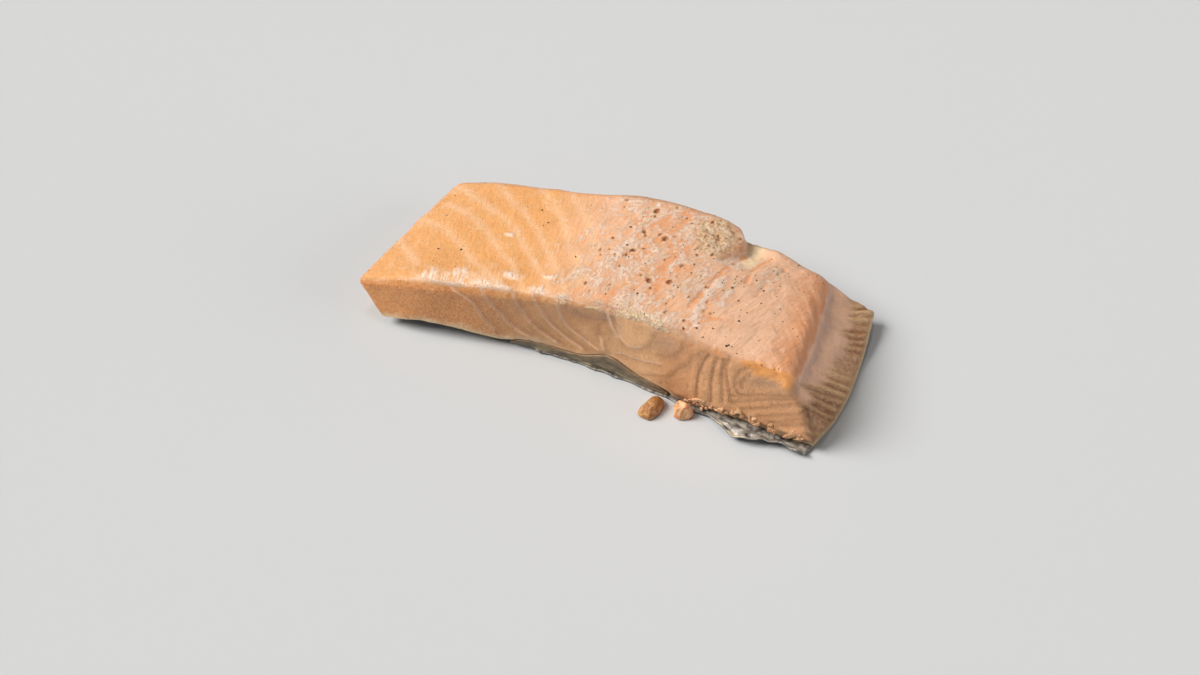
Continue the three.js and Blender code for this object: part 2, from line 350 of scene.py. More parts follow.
def top_relief(x, y):
    """Swollen crust, and the drop past its nose."""
    past = past_cleft(x, y)
    reach = smooth(past / 2.5) * smooth((16 - past) / 14) * smooth((y - CLEFT_Y + 3) / 7)
    depth = mix(CLEFT_FRONT_DEPTH, CLEFT_DEPTH, smooth((y - CLEFT_Y - 3) / 12))
    crust = bell(x, 47, 8) * bell(y, 48, 8) * smooth(-past / 3)
    return CRUST_HEIGHT * crust - depth * reach


def lip_bead(x, from_lip):
    """The moist thin half swells along its front lip: h (d / r) exp(1 - d / r) at the distance d."""
    swell = (from_lip / LIP_BEAD_REACH) * np.exp(1 - from_lip / LIP_BEAD_REACH)
    return LIP_BEAD * swell * smooth((20 - x) / 16) * smooth((x + 56) / 12)


def thin_end_shift(across, up):
    """The thin end slants: its top reaches out past its foot, and its back stands in."""
    return 3.8 - 10.8 * up + 8.5 * across


def thick_end_shift(across, up):
    """The thick end: a bowed crest at the top, a valley below it and a slope to a bowed foot."""
    crest = 1.9 + 1.4 * np.maximum(1 - across / 0.2, 0) ** 2 - 5.3 * across ** 2
    near_corner = 4.8 * np.maximum(1 - across / 0.5, 0) ** 2
    far_corner = 2.4 * np.maximum((across - 0.5) / 0.5, 0) ** 2
    return mix(17.6 - near_corner - far_corner, crest, up) - 1.6 * bell(up, 0.8, 0.14)


def near_ends(station):
    """How near each station is to the thin end and to the thick end, from 0 to 1."""
    near_thin = smooth(1 - (station - THIN_END) / THIN_REACH)
    near_thick = smooth(1 - (THICK_END - station) / THICK_REACH)
    return near_thin, near_thick


def flesh_place(rounded):
    """Millimetre places of the flesh, before its fine relief."""
    a, b, c = rounded.T
    station = mix(THIN_END, THICK_END, a)
    near_thin, near_thick = near_ends(station)
    front = mix(section(station, FOOT), section(station, LIP), c)
    x = station + thin_end_shift(b, c) * near_thin + thick_end_shift(b, c) * near_thick
    y = mix(front, section(station, BACK), b) + BACK_SWEEP * near_thick * (1 - c) * b
    top = mix(section(station, FRONT_TOP), section(station, BACK_TOP), b) + CROWN * 4 * b * (1 - b)
    top = top + top_relief(x, y) + lip_bead(x, b * MEAN_WIDTH)
    z = mix(flesh_under(x, y), top, c)
    return np.stack([x, y, z], axis=1)


along = stops(0.0, [(0.03, 9), (0.97, 262), (1.0, 9)])
across = stops(0.0, [(0.06, 8), (0.94, 86), (1.0, 8)])
up = stops(0.0, [(0.09, 6), (0.9, 40), (1.0, 7)])
unit, flesh_quads = block_grid(along, across, up)
rounded = round_off(unit)
flesh_base = flesh_place(rounded)
flesh_normals = normals_of(flesh_base, flesh_quads)
low_corner, high_corner = flesh_base.min(0).round(1), flesh_base.max(0).round(1)
print("flesh grid:", len(flesh_base), "points from", low_corner, "to", high_corner)

# %% [markdown]
# ## Which side a point is on
#
# The relief and the colour differ from side to side, and must run softly into each other over the
# edges. So each point gets a share of every side, from its distance to that side: the nearest side
# takes nearly all, and along an edge two sides share.

# %% Shares of the sides
SHARE_FALL = 0.7


def side_shares(rounded):
    """exp(-distance / fall) for each side, divided by their sum."""
    a, b, c = rounded.T
    length = THICK_END - THIN_END
    distance = {
        "front": b * MEAN_WIDTH, "back": (1 - b) * MEAN_WIDTH, "under": c * MEAN_HEIGHT,
        "top": (1 - c) * MEAN_HEIGHT, "thin": a * length, "thick": (1 - a) * length,
    }
    weight = {side: np.exp(-value / SHARE_FALL) for side, value in distance.items()}
    total = sum(weight.values())
    return {side: value / total for side, value in weight.items()}


side = side_shares(rounded)
on_cut = np.maximum(side["front"], side["back"])
x, y, z = flesh_base.T
rise = rounded[:, 2]
print("points on the two cut faces:", int((on_cut > 0.5).sum()))

# %% [markdown]
# ## Lines in the flesh
#
# Between the flakes run thin sheets of pale tissue, which show as lines. On the cut faces they slant
# down to the right in the thin half, bend into arcs round the lateral line, stand up as folds and end
# in a swirl. On top they are broad faint bands. Each line is a smooth curve through a few points. What
# is kept for each point of the mesh is its signed distance to the nearest line: that number runs
# evenly through zero, so the material can draw a line finer than the mesh itself.


# %% Curves and distances
def curve_through(points, steps=8):
    """A Catmull-Rom curve through the points, with steps pieces from each point to the next."""
    p = np.asarray(points, float)
    p = np.vstack([2 * p[0] - p[1], p, 2 * p[-1] - p[-2]])
    t = np.linspace(0, 1, steps, endpoint=False)[:, None]
    spans = []
    for a, b, c, d in zip(p[:-3], p[1:-2], p[2:-1], p[3:]):
        spans.append(0.5 * (2 * b + (c - a) * t + (2 * a - 5 * b + 4 * c - d) * t ** 2
                            + (3 * b - a - 3 * c + d) * t ** 3))
    return np.vstack(spans + [p[-2:-1]])


FAR = 9.0


def signed_distance(curves, u, v):
    """Distance of each place (u, v) to the nearest curve, negative on the curve's right-hand side."""
    best = np.full(len(u), FAR)
    for points in curves:
        curve = curve_through(points)
        low, high = curve.min(0) - FAR / 2, curve.max(0) + FAR / 2
        near = np.nonzero((u > low[0]) & (u < high[0]) & (v > low[1]) & (v < high[1]))[0]
        for (u0, v0), (u1, v1) in zip(curve[:-1], curve[1:]):
            du, dv = u1 - u0, v1 - v0
            pu, pv = u[near] - u0, v[near] - v0
            t = np.clip((pu * du + pv * dv) / (du * du + dv * dv + 1e-12), 0, 1)
            distance = np.hypot(pu - t * du, pv - t * dv)
            closer = distance < np.abs(best[near])
            best[near[closer]] = (distance * np.where(du * pv - dv * pu < 0, -1.0, 1.0))[closer]
    return best


def lines(curves, u, v, width):
    """How strongly each place lies on any of the curves, from 0 to 1."""
    return bell(signed_distance(curves, u, v), 0, width)


# %% Where the lines run
# Places (x, z) on a cut face: pale seams that slant down between the flakes of the thin half
PALE_SEAMS = [
    [(-30, 27.5), (-27, 24.5), (-20.5, 20), (-17, 14), (-13, 8)],
    [(-19, 29), (-16, 25), (-11, 17.5), (-5.5, 10.5), (4, 5)],
    [(-8, 30), (-5.5, 26), (0, 15.5), (5, 10.5), (12, 7)],
    [(0.5, 31), (2, 27), (7, 17), (13, 12), (19, 9)],
    [(8.5, 33), (10, 29), (13, 19.5), (19, 14.5), (25, 11.5)],
]
# Pale seams round the lateral line, and the pink one along the dark muscle
ARC_SEAMS = [
    [(28.5, 33), (29.5, 28), (31, 24), (32, 21)],
    [(26, 18), (27, 13.5), (28.5, 10.6), (33, 10.2)],
    [(30, 12), (35, 13.8), (39, 13.7), (43.5, 14.6), (48, 16)],
    [(33, 22), (36, 19.4), (38.5, 19.2), (41, 21)],
]
# Soft brown valleys: the arcs, then the upright folds, then the curl of the swirl. Along the arcs and
# folds the brown is partly painted shade in the grooves
BROWN_ARCS = [
    [(18, 27.5), (20, 25.7), (23.5, 26), (28, 28)],
    [(26.7, 25), (26.2, 22), (26.1, 18)],
    [(31.5, 29), (32, 23.5), (35, 18.5), (37.5, 17.7), (42, 20.5), (44.5, 24.5), (45.5, 28.5)],
    [(30, 11.2), (35, 13), (39, 12.8), (43.5, 13.7), (48, 15)],
    [(31, 10), (38, 7), (43, 6.7), (48, 9.5), (52.5, 12.2), (54, 14.6), (56, 18)],
    [(47.7, 20), (52, 21.4), (55, 25.7), (55.7, 30.4)],
    [(52.5, 12.2), (54.7, 16.3), (58, 21), (60.6, 26.8), (63.8, 30.5)],
]
FOLDS = [
    [(65, 29), (63.3, 24), (62.2, 16.6), (62.7, 6)],
    [(67.6, 28.5), (67, 21), (67, 15), (68.2, 7)],
    [(69.8, 29.4), (70, 24.3), (70.7, 17.3), (71.8, 9)],
    [(71.6, 31), (71, 26.7), (71.8, 22), (73.5, 16.3), (74.8, 10)],
]
CURL = [
    [(79, 30), (76, 26.5), (75, 22.5), (75.6, 17.4), (78, 15.5)],
    [(79.2, 26.3), (77.4, 22), (77.8, 19)],
]
# Bands under the curl, which fan out as they rise to the right
SWIRL_BANDS = [
    [(74.5, 13.5), (79, 16), (85, 19), (93.5, 23)],
    [(75.5, 10.5), (80, 13.5), (85, 16.6), (91, 20), (96, 22.5)],
    [(77, 7), (80, 9.3), (88, 14.5), (97, 21)],
    [(81, 5.5), (84, 7.6), (92.5, 13), (100, 17.5)],
    [(84, 4.3), (86.5, 6), (93, 10.3), (101, 16)],
    [(88, 4.5), (91, 6.6), (96.5, 10.3), (102, 14)],
]

SWIRL_EYE = (84.5, 24.8)
# The back cut face shows the same lines, this much nearer to the thin end
BACK_SHIFT = 3.0
# Places (x, y) on the top: broad faint bands across the thin half
TOP_BANDS = [
    [(-60, 13), (-52, 7), (-44, 0)],
    [(-58, 26), (-45.5, 21), (-35, 14.5), (-26, 8), (-17.5, 3.5), (-10, -1)],
    [(-52.5, 36), (-39, 30), (-28, 22.5), (-20, 15.5), (-11.5, 9.5), (-3, 1)],
    [(-52, 46.5), (-37, 37.5), (-25.5, 31), (-17, 25), (-8, 17), (1, 8.5), (6, 2)],
    [(-38, 51), (-30.5, 43.5), (-15.5, 32.5), (-5, 22.5), (3, 14.5), (8, 8.5), (13, 1)],
    [(-24, 53), (-18.5, 48.5), (-10, 42), (-0.5, 30.5), (8, 20), (15, 10)],
    [(-10, 53), (-1, 44), (8, 33), (15, 22)],
]
# Places (x, y) on the top: furrows between bundles of fibres, and the raised white streak
FURROWS = [
    [(60.5, 46.5), (57.5, 33.5), (55, 23), (52.5, 13.5)],
    [(62, 22), (57.5, 17.5), (56, 15)],
    [(64, 13.5), (59, 10.5), (57, 8), (54.5, 3)],
    [(28.5, 31), (24, 25.5)],
    [(69, 50), (66, 41), (65.5, 33)],
    [(75, 47), (72, 38), (70, 29)],
]
WHITE_STREAKS = [
    [(58.5, 31), (57, 24), (56, 16), (55.5, 8)],
    [(63, 33), (61.5, 25), (60.5, 19)],
]
print(len(PALE_SEAMS + ARC_SEAMS), "pale seams,", len(BROWN_ARCS + FOLDS), "brown valleys")


# %% Pattern of a cut face
def cut_face(x, z, wobble):
    """What a cut face shows at each place (x, z), as a dictionary of masks and distances."""
    u, v = x + 0.5 * wobble, z + 0.4 * wobble
    seam = signed_distance(PALE_SEAMS + ARC_SEAMS, u, v)
    past_seam = signed_distance(PALE_SEAMS, u, v)
    arc = signed_distance(BROWN_ARCS, u, v)
    eye_u, eye_v = u - SWIRL_EYE[0], v - SWIRL_EYE[1] - 0.25 * (u - SWIRL_EYE[0])
    return {
        "seam": seam,
        # shade: painted shade on each flake of the thin half, darkest just past its seam
        "shade": np.exp(-np.abs(past_seam) / 2.2) * (past_seam > 0) * smooth((26 - x) / 6),
        # arcs: brown beside each arc, soft on one side and sharp on the other, partly painted shade
        "arcs": np.where(arc < 0, np.exp(arc / 2.2), np.exp(-arc / 0.6)),
        "folds": lines(FOLDS, u, v, 0.6) * smooth((u - 60) / 2),
        "curl": lines(CURL, u, v, 0.6),
        "bands": lines(SWIRL_BANDS, u, v, 0.9),
        "eye": bell(np.hypot(eye_u / 6, eye_v / 2.4), 0, 1),
    }


wobble = layered(flesh_base, 7.0, 11)
cut = cut_face(x + BACK_SHIFT * (side["back"] > 0.5), z, wobble)
bands = lines(TOP_BANDS, x + 1.5 * wobble, y, 1.5) * smooth((32 - x) / 18)
furrows = lines(FURROWS, x + 0.8 * wobble, y, 0.8) * side["top"]
white_streaks = lines(WHITE_STREAKS, x + 0.8 * wobble, y, 1.0) * side["top"]
near_cut = np.maximum(on_cut, smooth((2.6 - unit[:, 1] * MEAN_WIDTH) / 1.5))
seam_strength = smooth((1.5 - np.abs(cut["seam"])) / 0.6) * near_cut * smooth((rise - 0.04) / 0.1)
print("widest distance to a seam:", round(float(np.abs(cut["seam"]).max()), 1), "mm")

# %% [markdown]
# ## Curd, blush and pits
#
# Heat squeezes a white curd out of the flesh. It sits in patches on the thick half of the top, most
# of all along the lip of the front cut face, where it is yellowish and crumbly. Between the patches
# the flesh blushes orange in streaks that follow the fibres, and small pits are left where steam came
# out. Here only the thickness of curd and blush is set, soft and wide. The material cuts the fine
# edges of the patches out of a noise of its own.

# %% Patches of the top
FIBRE_LEAN_THIN = -0.35
FIBRE_LEAN_THICK = 0.33
CREST_LEAN = -0.7
TOP_MIDDLE_Y = 27.0
BLUSH_SPOTS = [(30.5, 45), (36, 52.5), (30.5, 27), (39, 25.5), (28.5, 6), (41, 33.5), (38.5, 16), (33, 40)]
PITS = [(26, 49, 0.9), (26, 38, 0.7), (34, 37.5, 0.8), (24.5, 26, 0.4), (26, 28.5, 0.5), (36, 18, 0.9),
        (42.5, 20, 0.8), (43.5, 28.5, 0.6), (32.5, 19, 0.4), (46, 52, 0.4), (50, 47, 0.4), (46, 44, 0.3)]
PIT_COUNT = 60
# Wet patches along the lip of the thin half, where the surface is crinkled and shiny and carries
# painted whitish glints: place (x, y), half widths
WET_PATCHES = [(-35.5, -4.2, 5, 3.4), (-26.5, -1.6, 4, 5), (-17, -1.6, 4.4, 3.4), (-9.5, 5.5, 3.5, 1.6),
               (-19.5, 24, 1.6, 1.1), (1, 2.5, 3.5, 1.8), (11, 1.5, 3, 1.6), (-9, -0.5, 3, 1.6),
               (3, 9, 2.5, 0.9)]


def fibre_frame(x, y):
    """Across the fibres and along them, on the top. The fibres lean from left to right."""
    lean = mix(FIBRE_LEAN_THIN, FIBRE_LEAN_THICK, smooth((x + 20) / 60))
    return x - lean * (y - TOP_MIDDLE_Y), y


fibre_u, fibre_v = fibre_frame(x, y)
top_places = np.stack([x - FIBRE_LEAN_THICK * y, y, z], axis=1)
lumps = layered(flesh_base, 2.4, 71, 3)
patch = layered(top_places, (4.0, 6.5, 6), 21, 3)
streak = layered(top_places, (2.2, 9.0, 6), 33, 3)
mottled = smooth((x + 8) / 28) * smooth((72 - x) / 18)
lip_width = mix(0.4, 5.0, bell(x, 42, 8)) + 2.2 * patch
lip_curd = smooth((x - 6) / 14) * smooth((58 - x) / 10) * smooth((lip_width - y) / 1.6 + 0.5)
lip_curd *= smooth((z - section(np.clip(x, THIN_END, THICK_END), FRONT_TOP) + 1.6 + 1.8 * patch) / 1.2)
lip_curd *= smooth(0.65 + 1.5 * lumps + 0.4 * bell(x, 41, 9))
film = 0.3 * bell(np.hypot((x - 73 - 0.33 * (y - 40)) / 9, (y - 40) / 12), 0, 1)
curd = 0.43 * mottled + film + 0.32 * patch + 0.14 * lumps
curd = np.clip(curd * smooth((x + 18) / 22) + 0.3 * white_streaks, 0, 1) * side["top"] * smooth((91 - x) / 8)
curd = np.maximum(curd, lip_curd * np.maximum(side["top"], side["front"]))
spots = sum(bell(np.hypot(x - sx, 0.5 * (y - sy)), 0, 2.2) for sx, sy in BLUSH_SPOTS)
blush = np.clip(0.35 * mottled + 0.45 * streak + 0.6 * spots + 0.7 * furrows, 0, 1) * side["top"]

draw = np.random.default_rng(5)
loose_pits = np.stack([draw.uniform(14, 60, PIT_COUNT), draw.uniform(4, 54, PIT_COUNT),
                       draw.uniform(0.1, 0.4, PIT_COUNT)], axis=1)
pit_edge = np.full(len(x), 2.0)
for px, py, radius in PITS + loose_pits.tolist():
    pit_edge = np.minimum(pit_edge, np.hypot(x - px, 0.8 * (y - py)) - radius)
pit_edge = np.where(side["top"] > 0.5, pit_edge, 2.0)
pits = smooth((0.3 - pit_edge) / 0.9)
# The wet patches: less rough, crinkled, and painted towards white as glints
gloss = sum(bell(np.hypot((x - gx) / long, (y - gy) / wide), 0, 1) for gx, gy, long, wide in WET_PATCHES)
gloss = np.clip(1.5 * gloss + 0.7 * lumps - 0.15, 0, 1) * smooth((flesh_normals[:, 2] - 0.7) / 0.2)
crust = bell(x, 49, 8.5) * bell(y, 46.5, 10) * smooth((-past_cleft(x, y) + 3.0) / 2)
# The torn side past the crust's nose: torn fibres, with painted shade where the nose faces away from the
# light
torn_side_shade = bell(past_cleft(x, y), 1, 2) * smooth((y - 37) / 4) * smooth(0.7 + lumps) * side["top"]
crust = smooth((crust + 0.25 * lumps - 0.25) / 0.45) * (side["top"] + 0.8 * side["back"])
curd = curd * (1 - pits) * (1 - crust)
blush = blush * (1 - pits) * (1 - crust)
cleft_floor = smooth((past_cleft(x, y) - 0.5) / 2) * smooth((y - 38) / 4) * smooth((67 - x) / 4) * side["top"]
print("mean thickness of curd on the top:", round(float((curd * side["top"]).sum() / side["top"].sum()), 3))

# %% [markdown]
# ## Relief of the flesh
#
# The base form is moved along its normals: grooves at the seams, folds and swirl on the cut faces,
# ribs on the thick end, wrinkles that follow the fibres, lumps of curd, and pits. Real geometry keeps
# these shapes from any side, and in the raking light they make most of the look. The ribs of the thick
# end lean: towards the foot each runs on to the back.

# %% Relief
RIB_PITCH = 3.3
RIB_LEAN = 20.0
CRAG_DEPTH = 1.3
# Where along the lip the tips of the folds stand, and how wide and high they are
FOLD_TIPS = (63.4, 66.2, 68.8, 71.6)
TIP_WIDTH = 1.0
TIP_HEIGHT = 0.5
# How many fine cracks cross the thick half of the top
CRACK_COUNT = 26

rib_place = y - RIB_LEAN * (1 - rise)
rib_run = np.stack([rib_place, 6 * (1 - rise), x * 0], axis=1)
rib_wander = layered(rib_run, (5.0, 8.0, 5.0), 41, 3)
rib = 0.5 + 0.5 * np.cos(2 * math.pi * (rib_place + 2.2 * rib_wander) / RIB_PITCH)
rib = rib ** 1.3 * (0.55 + 0.65 * noise(rib_run, (5.6, 7, 5), 43)) + 0.3 * noise(rib_run, (1.1, 14, 5), 45)
down_end = 1 - rise
rib_start = mix(0.2, 0.45, smooth((y - 5) / 35)) + 0.13 * noise(rib_run, (3.3, 30, 5), 44)
ribbed = side["thick"] * smooth((down_end - rib_start) / 0.3) * smooth((1.0 - down_end) / 0.08)
near_foot = smooth(1 - rise / 0.28)
crag_places = np.stack([x, y, z * 0.6], axis=1)
crags = layered(crag_places, 3.2, 51, 3)
ragged = near_foot * on_cut * (0.3 + 0.7 * smooth((x - 50) / 12))
wrinkles = layered(top_places, (1.9, 12, 6), 61, 2) * smooth((x - 40) / 25)
crest = smooth((x - 78) / 9) * side["top"] + side["thick"] * smooth((0.2 - down_end) / 0.12)
crest_run = np.stack([x - CREST_LEAN * y, y, z], axis=1)
tears = layered(crest_run, (1.3, 9, 5), 67, 3) * crest
puffs = np.where(x > 60, 1 - cut["folds"], 0) * smooth((78 - x) / 4)

height = 0.42 * layered(flesh_base, 13.0, 81, 2) + 0.12 * noise(flesh_base, 5.0, 95)
lip = np.exp(-np.hypot(unit[:, 1] * MEAN_WIDTH, (1 - unit[:, 2]) * MEAN_HEIGHT) / 2.5)
lip_run = np.stack([x, z, y], axis=1)
knobs = sum(bell(x, tip, TIP_WIDTH) for tip in FOLD_TIPS) * np.clip(0.55 + 1.2 * lumps, 0, 1)
knobs = knobs + smooth((x - 76) / 5) * np.clip(0.35 + layered(lip_run, (1.9, 2.8, 2.4), 49, 2), 0, 1)
knobs *= smooth((lip - 0.25) / 0.4)
draw = np.random.default_rng(47)
starts = np.stack([draw.uniform(52, 88, CRACK_COUNT), draw.uniform(3, 44, CRACK_COUNT)], axis=1)
near_crest = smooth((starts[:, 0] - 72) / 10)
leans = mix(FIBRE_LEAN_THICK, CREST_LEAN, near_crest) + draw.uniform(-0.12, 0.12, CRACK_COUNT)
reaches = draw.uniform(5, 14, CRACK_COUNT)
crack_paths = [[(sx, sy), (sx + lean * reach / 2 + 0.4, sy + reach / 2), (sx + lean * reach, sy + reach)]
               for (sx, sy), lean, reach in zip(starts, leans, reaches)]
cracks = lines(crack_paths, x + 0.6 * wobble, y, 0.5) * side["top"] * smooth(0.7 + lumps)
height += on_cut * (-0.25 * cut["arcs"] - 0.22 * cut["folds"] - 0.2 * cut["curl"] - 0.16 * cut["bands"])
height += on_cut * (0.15 * puffs + 0.14 * lumps - 0.04 * seam_strength * bell(cut["seam"], 0, 0.5))
height += side["top"] * (0.22 * wrinkles + 0.1 * bands * wobble) - 0.32 * furrows + 0.15 * white_streaks
height += TIP_HEIGHT * knobs - 0.2 * cracks
height += (0.2 + 0.3 * lip_curd) * lumps * np.clip(2 * curd, 0, 1) - 0.12 * blush - 1.0 * pits
height += 1.1 * crust * layered(flesh_base, 2.3, 73, 3) + 0.26 * tears
height += 0.6 * lip * layered(flesh_base, 4.0, 97, 3)
height += ribbed * (1.3 * rib - 0.4) + 0.35 * side["thick"] * lumps * smooth((down_end - 0.3) / 0.4)
height -= 0.35 * cut["shade"] * on_cut
height += ragged * CRAG_DEPTH * crags
flesh_points = flesh_base + flesh_normals * height[:, None]
flesh_points[:, 2] = np.where(side["under"] > 0.5, flesh_base[:, 2], flesh_points[:, 2])
print("relief from", round(float(height.min()), 2), "to", round(float(height.max()), 2), "mm")

# %% [markdown]
# ## Colour of the flesh
#
# Each point gets one colour, mixed from named ones by the same masks that made the relief, so that
# colour and form belong together. The thin end is clear orange, the middle is peach and mottled, the
# thick end is pinker, its crest orange with a lilac valley below it. The ribs are straw with brown
# valleys, and painted darker at the near end, as shade.


# %% Named colours
def paint(red, green, blue):
    """A colour given as 0 to 255 on screen, as the linear values that light works with."""
    c = np.array([red, green, blue]) / 255.0
    return np.where(c <= 0.04045, c / 12.92, ((c + 0.055) / 1.055) ** 2.4)


ORANGE = paint(233, 168, 104)
BAND = paint(243, 192, 146)
PEACH = paint(236, 182, 142)
PINK = paint(240, 190, 154)
LIP_CURD = paint(248, 218, 184)
CRUST = paint(212, 170, 126)
# Brown of the crust, also painted shade in its gaps and low lumps, in cracks and tears, and in pits
CRUST_BROWN_AND_SHADE = paint(146, 94, 58)
# Brown of the torn side of the crust's nose, partly painted shade
TORN_BROWN_AND_SHADE = paint(190, 122, 76)
CREAM = paint(254, 228, 184)
CREST = paint(220, 146, 96)
END_PEACH = paint(242, 188, 150)
LILAC = paint(184, 142, 122)
GEL = paint(246, 168, 90)
DEEP_LIP = paint(220, 138, 66)
RIB_CROWN = paint(242, 200, 144)
RIB_VALLEY = paint(180, 116, 70)
STRAW = paint(226, 190, 144)
# Painted shade: the ribs are darker at the near end: what is left there of red, green and blue
RIB_SHADE = np.array([0.74, 0.68, 0.62])
# Painted shade in the gap under the foot and between its crags
FOOT_SHADE = paint(104, 62, 38)
CUT_THIN = paint(221, 151, 90)
CUT_MIDDLE = paint(203, 149, 97)
ARC_TAN = paint(231, 176, 124)
CUT_THICK = paint(224, 162, 112)
# Painted shade of the flakes of the thin half, beside their seams
SHADE = paint(172, 108, 64)
# Brown of the lines on the cut faces, partly painted shade in the valleys of the arcs and folds
BROWN_AND_VALLEY_SHADE = paint(160, 106, 66)
GREY_BROWN = paint(190, 146, 112)
FAT = paint(236, 212, 172)
LIP_ORANGE = paint(240, 156, 84)
EDGE_SHADE_ORANGE = paint(228, 146, 82)
MAUVE = paint(176, 132, 108)
PALE_LILAC = paint(206, 166, 140)
DEEP_LILAC = paint(160, 130, 116)
BAND_TAN = paint(243, 187, 134)
# Soft patches of a cut face: place (x, z), half widths, colour and strength
FLAKE_PATCHES = [
    (19, 27, 8, 2.6, MAUVE, 0.6), (28.3, 30, 2.6, 2.6, DEEP_LILAC, 0.8), (22, 19, 4, 4, ARC_TAN, 0.6),
    (39, 24, 5, 4.5, BAND_TAN, 0.6), (50, 27, 4.5, 4, PALE_LILAC, 0.5), (33, 27, 2, 4, PALE_LILAC, 0.4),
    (8, 22, 4, 3, MAUVE, 0.35), (-3, 20, 3, 4, MAUVE, 0.25), (45, 11, 8, 1.6, BAND_TAN, 0.4),
]


def tint_towards(rows, colour, amount):
    """Each row's colour moved towards one colour by its own amount."""
    return mix(rows, colour, np.clip(amount, 0, 1)[:, None])


def tinted(start, layers):
    """One colour for every point of the flesh, with each (colour, amount) laid over it in turn."""
    rows = np.tile(start, (len(x), 1))
    for colour, amount in layers:
        rows = tint_towards(rows, colour, amount)
    return rows


# %% Colour of each side
from_lip = z - section(np.clip(x, THIN_END, THICK_END), FRONT_TOP)
gel = smooth((from_lip + 3.6 + 0.06 * (x - 76) + 2.4 * lumps) / 1.6)
gel = gel * smooth((x - 73) / 4) * smooth((99 - x) / 3)
gel *= smooth((3.2 + 0.08 * (x - 90) + 3 * lumps - y) / 1.5)


def top_colours():
    """Orange at the thin end, then peach, then pink, with bands, crest and crust."""
    return tinted(ORANGE, [
        (PEACH, smooth((x + 0.3 * y + 6) / 34)),
        (PINK, smooth((x - 46) / 20)),
        (BAND, 0.9 * bands * (0.8 + 0.2 * wobble)),
        # a deeper orange along the back edge of the thin half: painted shade where the edge rolls away
        (EDGE_SHADE_ORANGE, 0.6 * smooth((y - section(x, BACK) + 4) / 4) * smooth((56 - x) / 20)),
        (CREST, 0.85 * smooth((x - 78 + 2 * streak + 0.06 * y) / 14)),
        (LIP_ORANGE, 0.5 * smooth((x - 60) / 6) * smooth((1.5 + 2 * lumps - y) / 2)),
        (GEL, 0.85 * gel),
        # painted shade in the cracks and in the low streaks of the crest's tears
        (CRUST_BROWN_AND_SHADE, 0.16 * cracks + 0.3 * smooth((-tears - 0.1) / 0.4)),
        (PINK, 0.5 * smooth((tears - 0.1) / 0.4)),
        (LIP_CURD, 0.5 * lip_curd),
        (CREAM, 0.8 * cleft_floor),
        (CRUST, 0.85 * crust),
        # painted shade in the pits and between the crust's lumps
        (CRUST_BROWN_AND_SHADE, 0.3 * pits + 0.5 * crust * smooth((-lumps - 0.05) / 0.3)),
        # torn fibres and painted shade on the side of the crust's nose that faces away from the light
        (TORN_BROWN_AND_SHADE, 0.7 * torn_side_shade),
    ])


def cut_colours():
    """Orange-tan and brown-shaded flakes in the thin half, tan with brown valleys in the thick half."""
    patches = [(colour, strength * bell(np.hypot((x - px) / wide, (z - pz) / high), 0, 1))
               for px, pz, wide, high, colour, strength in FLAKE_PATCHES]
    # The gap low on the foot of the thick half, darkened as painted shade
    foot_gap_shade = smooth((0.11 - rise + 0.05 * crags) / 0.05) * smooth((x - 50) / 6)
    rim = smooth((from_lip + 1.8 + 1.6 * lumps + 1.2 * knobs) / 1.6)
    return tinted(CUT_THIN, [
        (CUT_MIDDLE, smooth((x + 30) / 34)),
        (ARC_TAN, smooth((x - 27) / 5) * smooth((52 - x) / 8)),
        (CUT_THICK, smooth((x - 44) / 12)),
        # painted shade of the flakes past their seams
        (SHADE, 0.8 * cut["shade"]),
        *patches,
        (BAND_TAN, 0.35 * smooth((x - 74) / 4) + 0.35 * puffs),
        (GREY_BROWN, 0.75 * cut["eye"]),
        (BROWN_AND_VALLEY_SHADE, 0.6 * cut["curl"]),
        # Brown along the arcs, folds and bands; along the arcs and folds it is partly painted shade
        (BROWN_AND_VALLEY_SHADE, 0.42 * cut["arcs"] + 0.5 * cut["folds"] + 0.5 * cut["bands"]),
        # Painted shade between the crags of the ragged foot, and in the gap under it
        (FOOT_SHADE, 0.4 * ragged * smooth((-crags - 0.1) / 0.3)),
        (FAT, 0.4 * ragged * smooth((crags - 0.15) / 0.3)),
        (FOOT_SHADE, 0.85 * foot_gap_shade),
        (LIP_ORANGE, 0.75 * rim * smooth((x - 58) / 6)),
        (GEL, 0.85 * gel),
        (DEEP_LIP, 0.6 * rim * smooth((10 - x) / 10)),
        (FAT, 0.8 * smooth(1 - (rise + 0.1 * lumps) / 0.2) * smooth((14 - x) / 16)),
    ])


def thick_colours():
    """Orange under the crest, a lilac line, then peach, then ribs that turn to straw at the foot."""
    ribs = tinted(RIB_VALLEY, [(RIB_CROWN, rib + 0.2 * rib_wander + 0.15)])
    # painted shade: the ribs darker towards the near end
    ribs = ribs * mix(1.0, RIB_SHADE, smooth((24 - y) / 14)[:, None])
    return tinted(END_PEACH, [
        (LILAC, 0.7 * bell(down_end + 0.08 * wobble + 0.05 * lumps, 0.2, 0.09)),
        (LILAC, 0.25 * smooth(0.3 + 1.6 * patch) * (down_end < 0.7)),
        (PINK, 0.5 * smooth(-0.1 - 1.6 * patch)),
        (CREST, smooth((0.14 + 0.06 * streak + 0.07 * tears - down_end) / 0.06)),
        (ribs, smooth((down_end - rib_start) / 0.25)),
        (STRAW, 0.75 * smooth((down_end - 0.9) / 0.06)),
    ])


